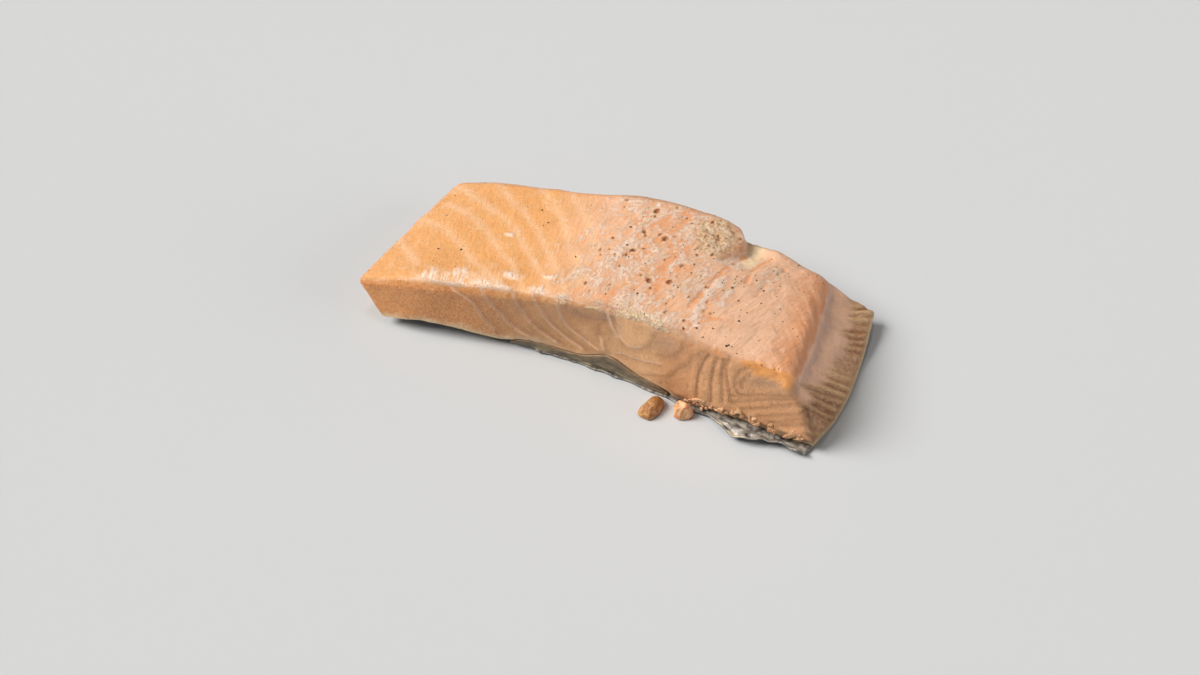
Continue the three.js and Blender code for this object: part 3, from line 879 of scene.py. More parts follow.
rows = (side["top"][:, None] * top_colours() + (on_cut + side["thin"])[:, None] * cut_colours()
        + side["thick"][:, None] * thick_colours() + side["under"][:, None] * FAT)
rows /= (side["top"] + on_cut + side["thin"] + side["thick"] + side["under"])[:, None]
rows = tint_towards(rows, LIP_CURD, 0.8 * lip_curd * side["front"])
rows *= (1 + 0.09 * layered(flesh_base, 5.0, 101, 3))[:, None]
flesh_tint = np.concatenate([np.clip(rows, 0, 1), np.ones((len(rows), 1))], axis=1)
print("mean colour of the flesh, linear:", rows.mean(0).round(3))

# %% Fibre directions for the finest grain
grain_top = np.stack([fibre_u, fibre_v, z], axis=1)
grain_cut = np.stack([x, 6 * z, y], axis=1)
grain_end = np.stack([rib_place, 24 * down_end, x], axis=1)
top_share = (side["top"] + side["under"])[:, None]
cut_share = (on_cut + side["thin"])[:, None]
grain = (top_share * grain_top + cut_share * grain_cut + side["thick"][:, None] * grain_end) * MILLIMETRE
wet = side["top"] * smooth((14 - x) / 26) + 0.5 * side["top"] * smooth((x - 58) / 10) + 0.35 * on_cut
wet = np.clip(wet + 0.6 * side["front"] * smooth((x - 56) / 8) + knobs + lip * smooth((20 - x) / 10), 0, 1)
depth = 0.3 * side["top"] + 0.45 * curd + 0.5 * crust + 0.25 * on_cut * smooth((12 - x) / 20)
depth += on_cut * mix(0.1, 0.4, smooth((x - 50) / 10))
depth = np.clip(depth + ribbed + 0.25 * side["thick"] + 0.1 * side["top"] * smooth((x - 50) / 15), 0, 1)
speckled = on_cut * (0.25 + 0.75 * smooth((8 - x) / 22))

# %% [markdown]
# ## Material of the flesh
#
# The mixed colour goes into a Principled shader with a little subsurface light, because cooked fish
# is dense but still moist. What the mesh is too coarse for is added here. Fibres come from noise that
# is stretched along the stored fibre directions. Curd and blush are cut out of such noises where they
# are thick enough. The pale seams are drawn where the stored signed distance is near zero. The fibres,
# the curd, the crust and the pits drive the bump too, so there colour and relief agree down to a tenth
# of a millimetre.


# %% Node helpers
def new_material(name):
    """An empty node material with a Principled shader, and functions that add and link nodes."""
    material = bpy.data.materials.new(name)
    material.use_nodes = True
    tree = material.node_tree
    tree.nodes.clear()
    output = tree.nodes.new("ShaderNodeOutputMaterial")
    shader = tree.nodes.new("ShaderNodeBsdfPrincipled")
    tree.links.new(shader.outputs["BSDF"], output.inputs["Surface"])

    def add(kind, settings=None, **inputs):
        node = tree.nodes.new("ShaderNode" + kind)
        for key, value in (settings or {}).items():
            setattr(node, key, value)
        for key, value in inputs.items():
            socket = node.inputs[int(key[1:])] if key[1:].isdigit() else node.inputs[key.replace("_", " ")]
            if isinstance(value, bpy.types.NodeSocket):
                tree.links.new(value, socket)
            else:
                socket.default_value = value
        return node

    def link(source, socket):
        tree.links.new(source, shader.inputs[socket])

    return material, shader, add, link


def attribute(add, name, output="Fac"):
    """What was stored on the mesh under that name."""
    return add("Attribute", {"attribute_name": name}).outputs[output]


def ramp(add, value, low, high, to_low=0.0, to_high=1.0):
    """value carried from low..high to to_low..to_high, smoothly and held at the ends."""
    node = add("MapRange", {"interpolation_type": "SMOOTHSTEP"}, Value=value, From_Min=low, From_Max=high,
               To_Min=to_low, To_Max=to_high)
    return node.outputs["Result"]


def arithmetic(add, operation, a, b=0.0):
    """a and b under one operation."""
    return add("Math", {"operation": operation}, _0=a, _1=b).outputs[0]


def times(add, a, b):
    """a multiplied by b."""
    return arithmetic(add, "MULTIPLY", a, b)


def plus(add, a, b):
    """a and b added up."""
    return arithmetic(add, "ADD", a, b)


def fractal(add, places, scale, detail=4.0, roughness=0.6):
    """Fractal noise, with scale cells to the metre."""
    return add("TexNoise", {}, Vector=places, Scale=scale, Detail=detail, Roughness=roughness).outputs["Fac"]


def stretched(add, places, scale):
    """Places multiplied by a scale for each axis, so that a noise of scale 1 on them is stretched."""
    return add("Mapping", {}, Vector=places, Scale=scale).outputs[0]


def mix_colour(add, factor, a, b, blend="MIX"):
    """Colours a and b mixed by factor."""
    node = add("Mix", {"data_type": "RGBA", "blend_type": blend}, _0=factor)
    for socket, value in ((node.inputs[6], a), (node.inputs[7], b)):
        if isinstance(value, bpy.types.NodeSocket):
            node.id_data.links.new(value, socket)
        else:
            socket.default_value = (*[float(c) for c in value], 1.0)
    return node.outputs[2]


def laid_over(add, colour, cover, share, strength):
    """The colour under a cover, where share says how much of it shows at full strength."""
    return mix_colour(add, times(add, share, strength), colour, cover)


def bumps(add, link, *layers):
    """Bump layers (height socket, depth in metres), one on the other, into the shader's normal."""
    normal = None
    for height, depth in layers:
        node = add("Bump", {}, Strength=1.0, Distance=depth, Height=height)
        if normal is not None:
            node.id_data.links.new(normal, node.inputs["Normal"])
        normal = node.outputs[0]
    link(normal, "Normal")


def subsurface(shader, weight, scale=0.0015):
    """Light that enters the food and comes out nearby, red farthest."""
    shader.inputs["Subsurface Weight"].default_value = weight
    shader.inputs["Subsurface Radius"].default_value = (1.0, 0.45, 0.25)
    shader.inputs["Subsurface Scale"].default_value = scale


# %% Flesh material
PALE_CURD = paint(243, 220, 200)
YELLOW_CURD = paint(250, 224, 192)
DEEP_BLUSH = paint(238, 154, 94)
WARM_DARK = np.array([0.74, 0.56, 0.42])
SEAM = paint(240, 196, 160)
CUT_SPECK = paint(188, 102, 52)
PALE_FLECK = paint(246, 194, 134)
CRUST_PALE = paint(240, 214, 180)
PORE = paint(196, 128, 86)
PIT_RIM = paint(242, 180, 124)
PAINTED_GLINT = paint(252, 226, 204)
PIT_SHADE = paint(164, 92, 50)


def flesh_material():
    """Stored tint; fibres, speckle, curd, blush and seams from noise; painted shade in pits and crust gaps,
    painted glints; a moist shine.
    """
    material, shader, add, link = new_material("flesh")
    place = add("TexCoord").outputs["Object"]
    along_fibres = attribute(add, "grain", "Vector")
    fibres = fractal(add, stretched(add, along_fibres, (1700, 190, 900)), 1.0, 4.0)
    mottle = fractal(add, place, 620.0, 5.0, 0.65)
    crumbs = fractal(add, place, 1500.0, 4.0, 0.65)

    depth = attribute(add, "depth")
    tint = attribute(add, "tint", "Color")
    crust = attribute(add, "crust")
    deep = mix_colour(add, 1.0, tint, WARM_DARK, "MULTIPLY")
    pale = mix_colour(add, 0.35, tint, PALE_CURD)
    hollow = times(add, ramp(add, fibres, 0.52, 0.3), depth)
    ridge = times(add, ramp(add, fibres, 0.5, 0.7), depth)
    colour = mix_colour(add, hollow, mix_colour(add, ridge, tint, pale), deep)
    blotch = times(add, ramp(add, mottle, 0.5, 0.32), depth)
    colour = laid_over(add, colour, deep, blotch, 0.6)
    speckle = times(add, attribute(add, "speckled"), ramp(add, crumbs, 0.53, 0.64))
    colour = laid_over(add, colour, CUT_SPECK, speckle, 0.8)
    flecks = times(add, attribute(add, "speckled"), ramp(add, crumbs, 0.46, 0.36))
    colour = laid_over(add, colour, PALE_FLECK, flecks, 0.5)
    grains = fractal(add, place, 900.0, 4.0, 0.7)
    granules = times(add, ramp(add, grains, 0.48, 0.56), crust)
    colour = laid_over(add, colour, CRUST_PALE, granules, 0.8)
    # Painted shade in the gaps between the crust's granules
    granule_gap_shade = times(add, ramp(add, grains, 0.45, 0.34), crust)
    colour = laid_over(add, colour, CRUST_BROWN_AND_SHADE, granule_gap_shade, 0.6)

    blush_noise = fractal(add, stretched(add, along_fibres, (600, 290, 500)), 1.0, 5.0, 0.65)
    blush_level = plus(add, attribute(add, "blush"), blush_noise)
    blush = ramp(add, blush_level, 0.84, 1.08)
    colour = laid_over(add, colour, DEEP_BLUSH, blush, 0.65)

    curd_noise = fractal(add, stretched(add, along_fibres, (780, 500, 650)), 1.0, 8.0, 0.78)
    curd_level = plus(add, attribute(add, "curd"), ramp(add, curd_noise, 0.2, 0.8, 0.1, 0.9))
    curd = ramp(add, curd_level, 0.82, 1.08)
    curd_colour = mix_colour(add, attribute(add, "lip_curd"), PALE_CURD, YELLOW_CURD)
    colour = laid_over(add, colour, curd_colour, curd, 0.72)
    pore = times(add, ramp(add, crumbs, 0.44, 0.34), attribute(add, "curd"))
    colour = laid_over(add, colour, PORE, pore, 0.55)

    pit_edge = plus(add, attribute(add, "pit"), ramp(add, mottle, 0.3, 0.7, -0.45, 0.45))
    rim = times(add, ramp(add, pit_edge, 0.0, 0.2), ramp(add, pit_edge, 0.8, 0.3))
    colour = laid_over(add, colour, PIT_RIM, rim, 0.6)
    # Painted shade inside the pits
    pit_shade = ramp(add, pit_edge, 0.1, -0.3)
    colour = laid_over(add, colour, PIT_SHADE, pit_shade, 0.85)

    frayed = ramp(add, mottle, 0.3, 0.7, -0.15, 0.15)
    seam_distance = arithmetic(add, "ABSOLUTE", plus(add, attribute(add, "seam"), frayed))
    seam = times(add, ramp(add, seam_distance, 0.85, 0.3), attribute(add, "seam_strength"))
    seam = times(add, seam, ramp(add, crumbs, 0.36, 0.5, 0.5, 0.95))
    colour = laid_over(add, colour, SEAM, seam, 0.7)

    gloss = attribute(add, "gloss")
    rough = arithmetic(add, "SUBTRACT", ramp(add, curd, 0.0, 1.0, 0.46, 0.6),
                       times(add, attribute(add, "wet"), 0.17))
    rough = plus(add, rough, ramp(add, mottle, 0.3, 0.7, -0.06, 0.06))
    link(arithmetic(add, "SUBTRACT", rough, times(add, gloss, 0.26)), "Roughness")
    curd_height = times(add, curd, ramp(add, crumbs, 0.3, 0.7, 0.3, 1.0))
    fibre_height = times(add, fibres, ramp(add, depth, 0.0, 1.0, 0.3, 1.0))
    grit = plus(add, times(add, attribute(add, "lip_curd"), 0.4), crust)
    grit = times(add, grit, grains)
    crinkles = fractal(add, stretched(add, along_fibres, (900, 320, 700)), 1.0)
    crinkle_height = times(add, crinkles, gloss)
    # Painted whitish glints: the wet patches are lifted towards white in crinkled streaks
    film = times(add, ramp(add, crinkles, 0.3, 0.55), gloss)
    colour = laid_over(add, colour, PAINTED_GLINT, film, 0.9)
    link(colour, "Base Color")
    bumps(add, link, (fibre_height, 0.0005), (mottle, 0.00035), (curd_height, 0.00013), (grit, 0.0006),
          (ramp(add, pit_edge, -0.3, 0.2), 0.0004), (crinkle_height, 0.0006))
    shader.inputs["IOR"].default_value = 1.42
    shader.inputs["Coat Weight"].default_value = 0.15
    shader.inputs["Coat Roughness"].default_value = 0.2
    subsurface(shader, 0.10)
    return material


flesh_values = {"tint": flesh_tint, "grain": grain, "curd": curd, "lip_curd": lip_curd, "blush": blush,
                "wet": wet, "depth": depth, "speckled": speckled, "seam": cut["seam"],
                "seam_strength": seam_strength, "crust": crust, "pit": pit_edge, "gloss": gloss}
flesh = add_surface("fillet_flesh", flesh_points, flesh_quads, flesh_values)
flesh.data.materials.append(flesh_material())
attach(flesh, "root")
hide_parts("flesh")

# %% [markdown]
# ## Crumbs, torn flakes and pepper
#
# Three kinds of small things sit on the flesh: crumbs of curd along the lip and over the mottled part,
# torn flakes along the foot of the thick half, and grains of ground pepper. Each kind is one
# mesh of many copies of a small lumpy ball, squashed and turned at random, and sunk a little into the
# flesh so that none of them floats.


# %% Many small lumps as one mesh
LUMP_RINGS = 11
LUMP_SEGMENTS = 16


def ball(rings, segments):
    """Unit directions and faces of a round ball of quads, its poles closed by tiny quads."""
    theta = np.linspace(0.02, math.pi - 0.02, rings)
    phi = np.linspace(0, 2 * math.pi, segments, endpoint=False)
    t, p = np.meshgrid(theta, phi, indexing="ij")
    directions = np.stack([np.sin(t) * np.cos(p), np.sin(t) * np.sin(p), np.cos(t)], axis=-1).reshape(-1, 3)
    i, j = np.meshgrid(np.arange(rings - 1), np.arange(segments), indexing="ij")
    i, j = i.ravel(), j.ravel()
    n = (j + 1) % segments
    return directions, np.stack([i * segments + j, (i + 1) * segments + j, (i + 1) * segments + n,
                                 i * segments + n], axis=1)


def lumps_on(places, normals, sizes, flatness, lumpiness, seed):
    """Lumpy balls at places, flattened along the normals, with turned axes: points and quads."""
    directions, quads = ball(LUMP_RINGS, LUMP_SEGMENTS)
    random = np.random.default_rng(seed)
    count = len(places)
    side_way = np.cross(normals, random.normal(size=(count, 3)))
    side_way /= np.linalg.norm(side_way, axis=1, keepdims=True)
    other_way = np.cross(normals, side_way)
    long, wide = sizes[:, :1], sizes[:, 1:2]
    axes = np.stack([side_way * long, other_way * wide, normals * wide * flatness], axis=1)
    shift = random.uniform(-50, 50, (count, 1, 3))
    around = (directions[None] * 1.5 + shift).reshape(-1, 3)
    swelling = 1 + lumpiness * noise(around, 0.9, seed).reshape(count, -1, 1)
    points = places[:, None] + np.einsum("nda,nab->ndb", directions[None] * swelling, axes)
    offsets = (np.arange(count) * len(directions))[:, None, None]
    return points.reshape(-1, 3), (quads[None] + offsets).reshape(-1, 4)


def scattered(density, count, seed):
    """Random points of the flesh, likelier where density is high: their indices."""
    share = np.clip(density, 0, None)
    return np.random.default_rng(seed).choice(len(share), count, replace=False, p=share / share.sum())


flesh_out = normals_of(flesh_points, flesh_quads)

# %% Crumbs of curd
LIP_CRUMBS = 150
TOP_CRUMBS = 170
# Smallest and largest half width of a crumb
CRUMB_SIZES = (0.14, 0.42)


def crumb_material():
    """Pale yellow-white curd, a little translucent."""
    material, shader, add, link = new_material("curd")
    place = add("TexCoord").outputs["Object"]
    grains = fractal(add, place, 1300.0, 4.0, 0.65)
    colour = mix_colour(add, ramp(add, grains, 0.35, 0.65), paint(214, 168, 124), paint(238, 214, 176))
    link(colour, "Base Color")
    link(ramp(add, grains, 0.3, 0.7, 0.45, 0.6), "Roughness")
    bumps(add, link, (grains, 0.00025))
    subsurface(shader, 0.15)
    return material


at_lip = (y < 4.5) & (y > -1.5) & (on_cut + side["top"] > 0.6)
edge_density = lip_curd * at_lip * smooth((lumps + 0.6) / 0.8)
top_density = side["top"] * smooth((curd - 0.4) / 0.3) * (1 - white_streaks) * (y > 2) * (y < 54)
chosen = np.concatenate([scattered(edge_density, LIP_CRUMBS, 201), scattered(top_density, TOP_CRUMBS, 202)])
draw = np.random.default_rng(203)
sizes = draw.uniform(*CRUMB_SIZES, (len(chosen), 2))
crumb_points, crumb_quads = lumps_on(flesh_points[chosen], flesh_out[chosen], sizes, 0.55, 0.55, 204)
crumbs = add_surface("fillet_curd", crumb_points, crumb_quads)
crumbs.data.materials.append(crumb_material())
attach(crumbs, "root")
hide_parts("flesh")

# %% Torn flakes at the foot
TORN_COUNT = 46
TORN_FROM = 58.0
TORN_TO = 100.0


def torn_material():
    """Orange-pink torn flesh, lighter or darker by each flake's tone and by a fine noise."""
    material, shader, add, link = new_material("torn_flesh")
    place = add("TexCoord").outputs["Object"]
    grains = fractal(add, place, 700.0, 5.0, 0.65)
    tone = plus(add, attribute(add, "tone"), grains)
    colour = mix_colour(add, ramp(add, tone, 0.5, 1.3), paint(176, 120, 80), paint(232, 180, 134))
    link(colour, "Base Color")
    link(ramp(add, grains, 0.3, 0.7, 0.4, 0.6), "Roughness")
    bumps(add, link, (grains, 0.0005))
    subsurface(shader, 0.12)
    return material


at_foot = side["front"] * (x > TORN_FROM) * (x < TORN_TO) * (rise > 0.0) * (rise < 0.14)
chosen = scattered(at_foot, TORN_COUNT, 211)
draw = np.random.default_rng(212)
sizes = np.stack([draw.uniform(0.7, 1.7, TORN_COUNT), draw.uniform(0.4, 0.9, TORN_COUNT)], axis=1)
torn_points, torn_quads = lumps_on(flesh_points[chosen], flesh_out[chosen], sizes, 0.45, 0.75, 213)
tones = np.repeat(draw.uniform(0.2, 0.8, TORN_COUNT), len(torn_points) // TORN_COUNT)
torn_flakes = add_surface("fillet_torn_foot", torn_points, torn_quads, {"tone": tones})
torn_flakes.data.materials.append(torn_material())
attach(torn_flakes, "root")
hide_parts("flesh")

# %% Grains of pepper
# Places (x, y) on the top of the grains that show most, then how many more are strewn at random
GRAINS = [(35, 11), (54, 4), (58, 6), (62, 28), (66, 24), (68, 36), (61, 3), (69, 15), (63, 8), (69, 3.5),
          (70, 4), (72, 33), (23, 30), (21, 38), (-14, 39), (-9, 33), (-41, 10), (-33, 12), (8, 20), (47, 31)]
STREWN = 90
GRAIN_SIZES = (0.26, 0.44)
STREWN_SHRINK = 0.6


def pepper_material():
    """Near-black and brown husk."""
    material, shader, add, link = new_material("pepper")
    place = add("TexCoord").outputs["Object"]
    husk = fractal(add, place, 2500.0)
    link(mix_colour(add, ramp(add, husk, 0.4, 0.6), paint(40, 30, 24), paint(96, 64, 44)), "Base Color")
    shader.inputs["Roughness"].default_value = 0.6
    bumps(add, link, (husk, 0.0002))
    return material


named = [int(np.argmin(np.hypot(x - gx, y - gy) + 99.0 * (side["top"] < 0.7))) for gx, gy in GRAINS]
strewn = scattered(side["top"] * (0.15 + smooth((x - 20) / 40)) * (x < 90), STREWN, 221)
chosen = np.concatenate([named, strewn])
draw = np.random.default_rng(222)
sizes = draw.uniform(*GRAIN_SIZES, (len(chosen), 2))
sizes[len(named):] *= STREWN_SHRINK
pepper_points, pepper_quads = lumps_on(flesh_points[chosen], flesh_out[chosen], sizes, 0.7, 0.6, 223)
pepper = add_surface("fillet_pepper", pepper_points, pepper_quads)
pepper.data.materials.append(pepper_material())
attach(pepper, "root")
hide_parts("flesh")

# %% [markdown]
# ## The dark muscle
#
# Under the lateral line the fish has a wedge of darker muscle, grey-brown when cooked. It runs right
# through under the flesh and shows at both cut faces as a dark lens. Its face is ragged and mottled,
# lighter at its lower edge where fat clings to it.

# %% Dark muscle
muscle_unit, muscle_quads = block_grid(stops(0, [(1, 150)]), stops(0, [(0.06, 10), (0.94, 40), (1, 10)]),
                                       stops(0, [(1, 16)]))
a, b, c = muscle_unit.T
mx = mix(MUSCLE_START, MUSCLE_END, a)
my = mix(section(mx, FOOT) - 0.1, section(mx, BACK) - 0.1, b)
face = smooth((b - 0.9) / 0.1) - smooth((0.1 - b) / 0.1)
thin_edge = smooth(np.minimum(a, 1 - a) / 0.06)
mz = rest_height(mx, my) + SKIN_THICKNESS + 0.1 + (muscle_height(mx) * mix(0.25, 1, thin_edge) + 0.45) * c
muscle_places = np.stack([mx, my, mz], axis=1)
my = my + face * (0.2 * np.sin(math.pi * c) + 0.4 * layered(muscle_places, 2.4, 111, 3))
muscle = add_surface("fillet_dark_muscle", np.stack([mx, my, mz], axis=1), muscle_quads, {"rise": c})


def muscle_material():
    """Olive-grey with near-black mottling, layered along the skin, and pale fat in patches low down."""
    material, shader, add, link = new_material("dark_muscle")
    place = add("TexCoord").outputs["Object"]
    rise = attribute(add, "rise")
    layers = fractal(add, stretched(add, place, (160, 300, 900)), 1.0, 5.0, 0.6)
    fine = fractal(add, place, 1300.0, 4.0)
    colour = mix_colour(add, ramp(add, layers, 0.36, 0.62), paint(82, 72, 52), paint(134, 114, 84))
    colour = laid_over(add, colour, paint(56, 44, 30), ramp(add, fine, 0.42, 0.3), 0.8)
    low = times(add, ramp(add, rise, 0.6, 0.1), ramp(add, layers, 0.5, 0.62))
    colour = laid_over(add, colour, paint(206, 190, 152), low, 0.7)
    colour = laid_over(add, colour, paint(176, 132, 94), ramp(add, rise, 0.8, 1.0), 0.5)
    link(colour, "Base Color")
    link(ramp(add, layers, 0.3, 0.7, 0.32, 0.5), "Roughness")
    bumps(add, link, (layers, 0.0004), (fine, 0.0002))
    subsurface(shader, 0.05)
    return material


muscle.data.materials.append(muscle_material())
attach(muscle, "root")
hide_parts("dark_muscle")

# %% [markdown]
# ## The skin
#
# The skin is a thin sheet under everything. It shows as a dark edge at the foot of the front cut face,
# and at the front right a crumpled flap of it sticks out from under the flesh. Its outer side, which
# is the underside here, has the fish's scales; its inner side is silver-grey with cream fat left on it.

# %% Skin
FLAP_START = 66.0
skin_unit, skin_quads = block_grid(stops(0, [(1, 300)]), stops(0, [(0.16, 46), (1, 90)]), stops(0, [(1, 2)]))
a, b, c = skin_unit.T
station = mix(THIN_END, THICK_END, a)
near_thin, near_thick = near_ends(station)
showing = mix(-1.6, 0.5, smooth((station + 8) / 14)) + 0.9 * smooth((station - 52) / 8)
flap = 1.9 * smooth((station - FLAP_START) / 6) + 3.2 * bell(station, 77, 4.5)
edge_run = np.stack([station, station * 0, station * 0], axis=1)
ragged_edge = 0.5 * layered(edge_run, 4.0, 121, 3) * smooth((0.1 - b) / 0.1)
sy = mix(section(station, FOOT) - showing - flap + ragged_edge, section(station, BACK) - 1.2, b)
sy += BACK_SWEEP * near_thick * b
sx = station + (thin_end_shift(b, 0) + 1.6) * near_thin + (thick_end_shift(b, 0) - 2.2) * near_thick
clear = smooth((section(station, FOOT) - 0.6 - sy) / 2.5) * smooth((station - 60) / 8)
sheet_places = np.stack([sx, sy, sx * 0], axis=1)
crumple = layered(sheet_places, (3.6, 2.2, 5), 131, 4)
wrinkle = clear * (1.6 + 1.6 * crumple + 0.5 * np.sin(0.95 * sx))
turned_edge = clear * 0.9 * bell(b, 0.0, 0.012)
sz = rest_height(sx, sy) + np.maximum(wrinkle, 0) + turned_edge + SKIN_THICKNESS * c
skin_points = np.stack([sx, sy, np.maximum(sz, 0.0)], axis=1)
silver = clear * bell(station, 71.5, 4.5) * smooth((b - 0.008) / 0.02)
cream_edge = clear * bell(station, 74.5, 6.5) * smooth((0.03 - b) / 0.02)
skin = add_surface("fillet_skin", skin_points, skin_quads,
                   {"inner": c, "crease": crumple, "silver": silver, "cream": cream_edge})


def skin_material():
    """Silver-grey inside with cream patches, painted shade in creases and painted wet glints; scales on the
    outer side.
    """
    material, shader, add, link = new_material("skin")
    place = add("TexCoord").outputs["Object"]
    inner = attribute(add, "inner")
    crease = attribute(add, "crease")
    coarse = fractal(add, place, 420.0, 5.0, 0.65)
    fine = fractal(add, place, 1400.0, 4.0, 0.65)
    lined = mix_colour(add, ramp(add, coarse, 0.36, 0.62), paint(100, 90, 82), paint(184, 173, 158))
    lined = laid_over(add, lined, paint(214, 208, 202), attribute(add, "silver"), 0.85)
    lined = laid_over(add, lined, paint(224, 206, 170), attribute(add, "cream"), 0.8)
    # Painted shade in the creases of the crumples
    lined = mix_colour(add, ramp(add, crease, -0.2, -0.6), lined, paint(62, 52, 46))
    lined = mix_colour(add, ramp(add, fine, 0.36, 0.26), lined, paint(56, 46, 38))
    # Painted glints: pale flecks for the sparkle of the wet skin
    lined = mix_colour(add, ramp(add, fine, 0.62, 0.70), lined, paint(226, 220, 208))
    scale_places = add("Mapping", {}, Vector=place, Rotation=(0, 0, 0.785), Scale=(380, 470, 60)).outputs[0]
    scales = add("TexVoronoi", {}, Vector=scale_places, Scale=1.0, Randomness=0.35).outputs["Distance"]
    scaled = mix_colour(add, ramp(add, scales, 0.1, 0.6), paint(104, 108, 112), paint(46, 48, 50))
    link(mix_colour(add, ramp(add, inner, 0.2, 0.5), scaled, lined), "Base Color")
    link(ramp(add, coarse, 0.3, 0.7, 0.24, 0.46), "Roughness")
    scale_height = times(add, ramp(add, scales, 0.6, 0.1), ramp(add, inner, 0.5, 0.2))
    bumps(add, link, (scale_height, 0.0002), (coarse, 0.0003), (fine, 0.0002))
    shader.inputs["Coat Weight"].default_value = 0.3
    shader.inputs["Coat Roughness"].default_value = 0.18
    return material


skin.data.materials.append(skin_material())
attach(skin, "root")
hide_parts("skin")

# %% [markdown]
# ## The two scraps
#
# Two morsels came loose and lie at the foot of the front cut face: a tan one of fatty flesh, and an
# orange nub. Both are lumpy rounded blocks with a flat bottom, stretched along a turned axis.


# %% Scraps
# How many times over the points of a scrap are moved, which rounds its edges
MORSEL_RELAXING = 14


def relaxed(points, quads, times):
    """Each point moved to the mean of its quads' middles, a few times over, which rounds the edges."""
    count = sum(np.bincount(quads[:, i], minlength=len(points)) for i in range(4))
    for _ in range(times):
        middles = points[quads].mean(axis=1)
        points = np.stack([
            sum(np.bincount(quads[:, i], middles[:, axis], len(points)) for i in range(4)) / count
            for axis in range(3)
        ], axis=1)
    return points


def morsel(name, x, y, length, width, height, turn, squareness, lump, fine, seed):
    """A flat-bottomed lumpy block, as the solid that it stands for, with rounder edges and finer lumps."""
    cells = stops(0, [(1, 26)])
    unit, quads = block_grid(cells, cells, cells)
    a, b, c = unit.T
    u, v = 2 * a - 1, 2 * b - 1
    reach = np.maximum(np.hypot(u, v), 1e-6)
    square = np.maximum(np.abs(u), np.abs(v))
    round_share = mix(square / reach, 1, squareness)
    bulge = 1 + lump * np.sin(3 * np.arctan2(v, u) + 0.8) * square
    shrink = mix(1, 0.7, c * c) * bulge * round_share
    lx, ly = u * shrink * length / 2, v * shrink * width / 2
    dome = 1 - 0.3 * square ** 4 + lump * np.sin(2.4 * u + 1.7 * v)
    places = np.stack([x + lx * math.cos(turn) - ly * math.sin(turn),
                       y + lx * math.sin(turn) + ly * math.cos(turn), c * height * dome], axis=1)
    places = relaxed(places, quads, MORSEL_RELAXING)
    places[:, 2] *= c > 0
    out = normals_of(places, quads)
    grown = places + out * (fine * layered(places, 2.2, seed, 3))[:, None] * smooth(c / 0.3)[:, None]
    return add_surface(name, grown, quads)


def scrap_material(name, light, dark, speck):
    """Two tones of moist flesh, with darker specks."""
    material, shader, add, link = new_material(name)
    place = add("TexCoord").outputs["Object"]
    coarse = fractal(add, place, 420.0, 5.0)
    fine = fractal(add, place, 1500.0, 4.0)
    colour = mix_colour(add, ramp(add, coarse, 0.38, 0.6), light, dark)
    colour = mix_colour(add, ramp(add, fine, 0.36, 0.26), colour, speck)
    link(colour, "Base Color")
    link(ramp(add, coarse, 0.3, 0.7, 0.24, 0.42), "Roughness")
    bumps(add, link, (coarse, 0.0005), (fine, 0.0003))
    subsurface(shader, 0.2)
    return material


fat_scrap = morsel("scrap_fat", 49.2, -8.4, 10.6, 6, 4.6, 1.25, 0.5, 0.08, 0.45, 141)
fat_scrap.data.materials.append(
    scrap_material("scrap_fat", paint(204, 150, 92), paint(170, 112, 58), paint(130, 80, 42)))
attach(fat_scrap, "root")
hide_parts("fat_scrap")

flesh_scrap = morsel("scrap_flesh", 59.5, -5.9, 7, 5.2, 5.8, 0.15, 0.4, 0.1, 0.8, 151)
flesh_scrap.data.materials.append(
    scrap_material("scrap_flesh", paint(238, 188, 140), paint(216, 146, 94), paint(150, 92, 56)))
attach(flesh_scrap, "root")
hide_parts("flesh_scrap")

# %% [markdown]
# ## Floor and light
#
# A plain pale floor. The main light comes from the camera's left. It and its two helpers are suns
# with wide discs, so that the shadows are soft and the floor is lit evenly. One helper fills the front
# cut face from the front left, the other keeps the ribbed end readable from the right; both are low,
# so they hardly light the floor and the shadow on the right stays dark. A small light almost overhead
# makes the wet glints.

# %% Floor
FLOOR_SIZE = 6.0
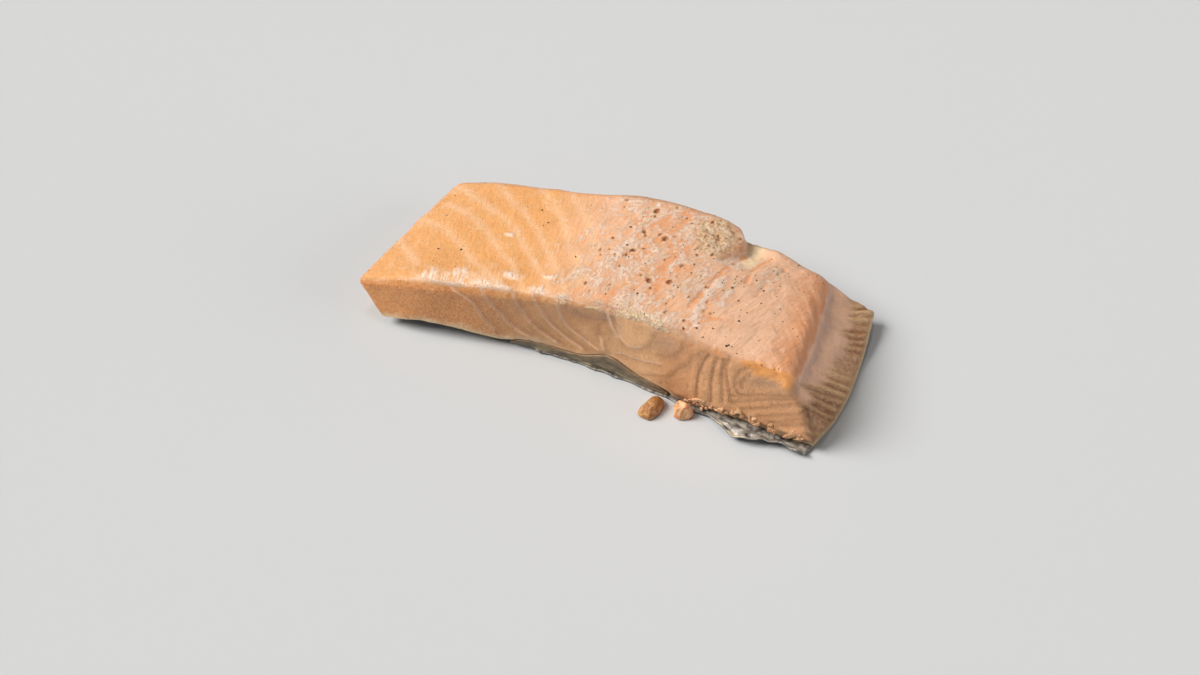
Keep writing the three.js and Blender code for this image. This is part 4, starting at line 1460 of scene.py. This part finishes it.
# A hair below the fillet's flat underside, so that the two surfaces never coincide
FLOOR_DROP = 0.0002
floor_mesh = bpy.data.meshes.new("floor")
half = FLOOR_SIZE / 2
floor_corners = [(-half, -half, 0), (half, -half, 0), (half, half, 0), (-half, half, 0)]
floor_mesh.from_pydata(floor_corners, [], [(0, 1, 2, 3)])
floor = bpy.data.objects.new("floor", floor_mesh)
floor.location.z = -FLOOR_DROP
bpy.context.collection.objects.link(floor)
floor_material, floor_shader, _, _ = new_material("floor")
floor_shader.inputs["Base Color"].default_value = (*[float(c) for c in paint(203, 203, 202)], 1.0)
floor_shader.inputs["Roughness"].default_value = 0.8
floor_shader.inputs["Specular IOR Level"].default_value = 0.1
floor_mesh.materials.append(floor_material)

# %% Lights
# Each sun: azimuth and elevation that it shines from, width of its disc in degrees, strength
SUNS = {
    "key": (-70, 44, 30, 3.8),
    "fill": (-10, 14, 50, 0.1),
    "end": (100, 12, 40, 1.1),
}
OVERHEAD_AZIMUTH = math.radians(-120)
OVERHEAD_ELEVATION = math.radians(82)
OVERHEAD_DISTANCE = 1.5
OVERHEAD_SIZE = 0.25
OVERHEAD_POWER = 2.8
SURROUND = 0.1


def aim(light, azimuth, elevation):
    """Turns a light to shine from that azimuth and elevation, and puts it in the scene."""
    light.rotation_euler = (math.pi / 2 - elevation, 0.0, azimuth)
    bpy.context.collection.objects.link(light)


for name, (azimuth, elevation, disc, strength) in SUNS.items():
    sun_data = bpy.data.lights.new(name, "SUN")
    sun_data.energy = strength
    sun_data.angle = math.radians(disc)
    aim(bpy.data.objects.new(name, sun_data), math.radians(azimuth), math.radians(elevation))
overhead_data = bpy.data.lights.new("overhead", "AREA")
overhead_data.size = OVERHEAD_SIZE
overhead_data.energy = OVERHEAD_POWER
overhead = bpy.data.objects.new("overhead", overhead_data)
overhead.location = backwards(OVERHEAD_AZIMUTH, OVERHEAD_ELEVATION) * OVERHEAD_DISTANCE
aim(overhead, OVERHEAD_AZIMUTH, OVERHEAD_ELEVATION)
world = bpy.data.worlds.new("surround")
world.use_nodes = True
world.node_tree.nodes["Background"].inputs["Color"].default_value = (1.0, 1.0, 1.0, 1.0)
world.node_tree.nodes["Background"].inputs["Strength"].default_value = SURROUND
bpy.context.scene.world = world
bpy.context.scene.view_settings.view_transform = "Standard"
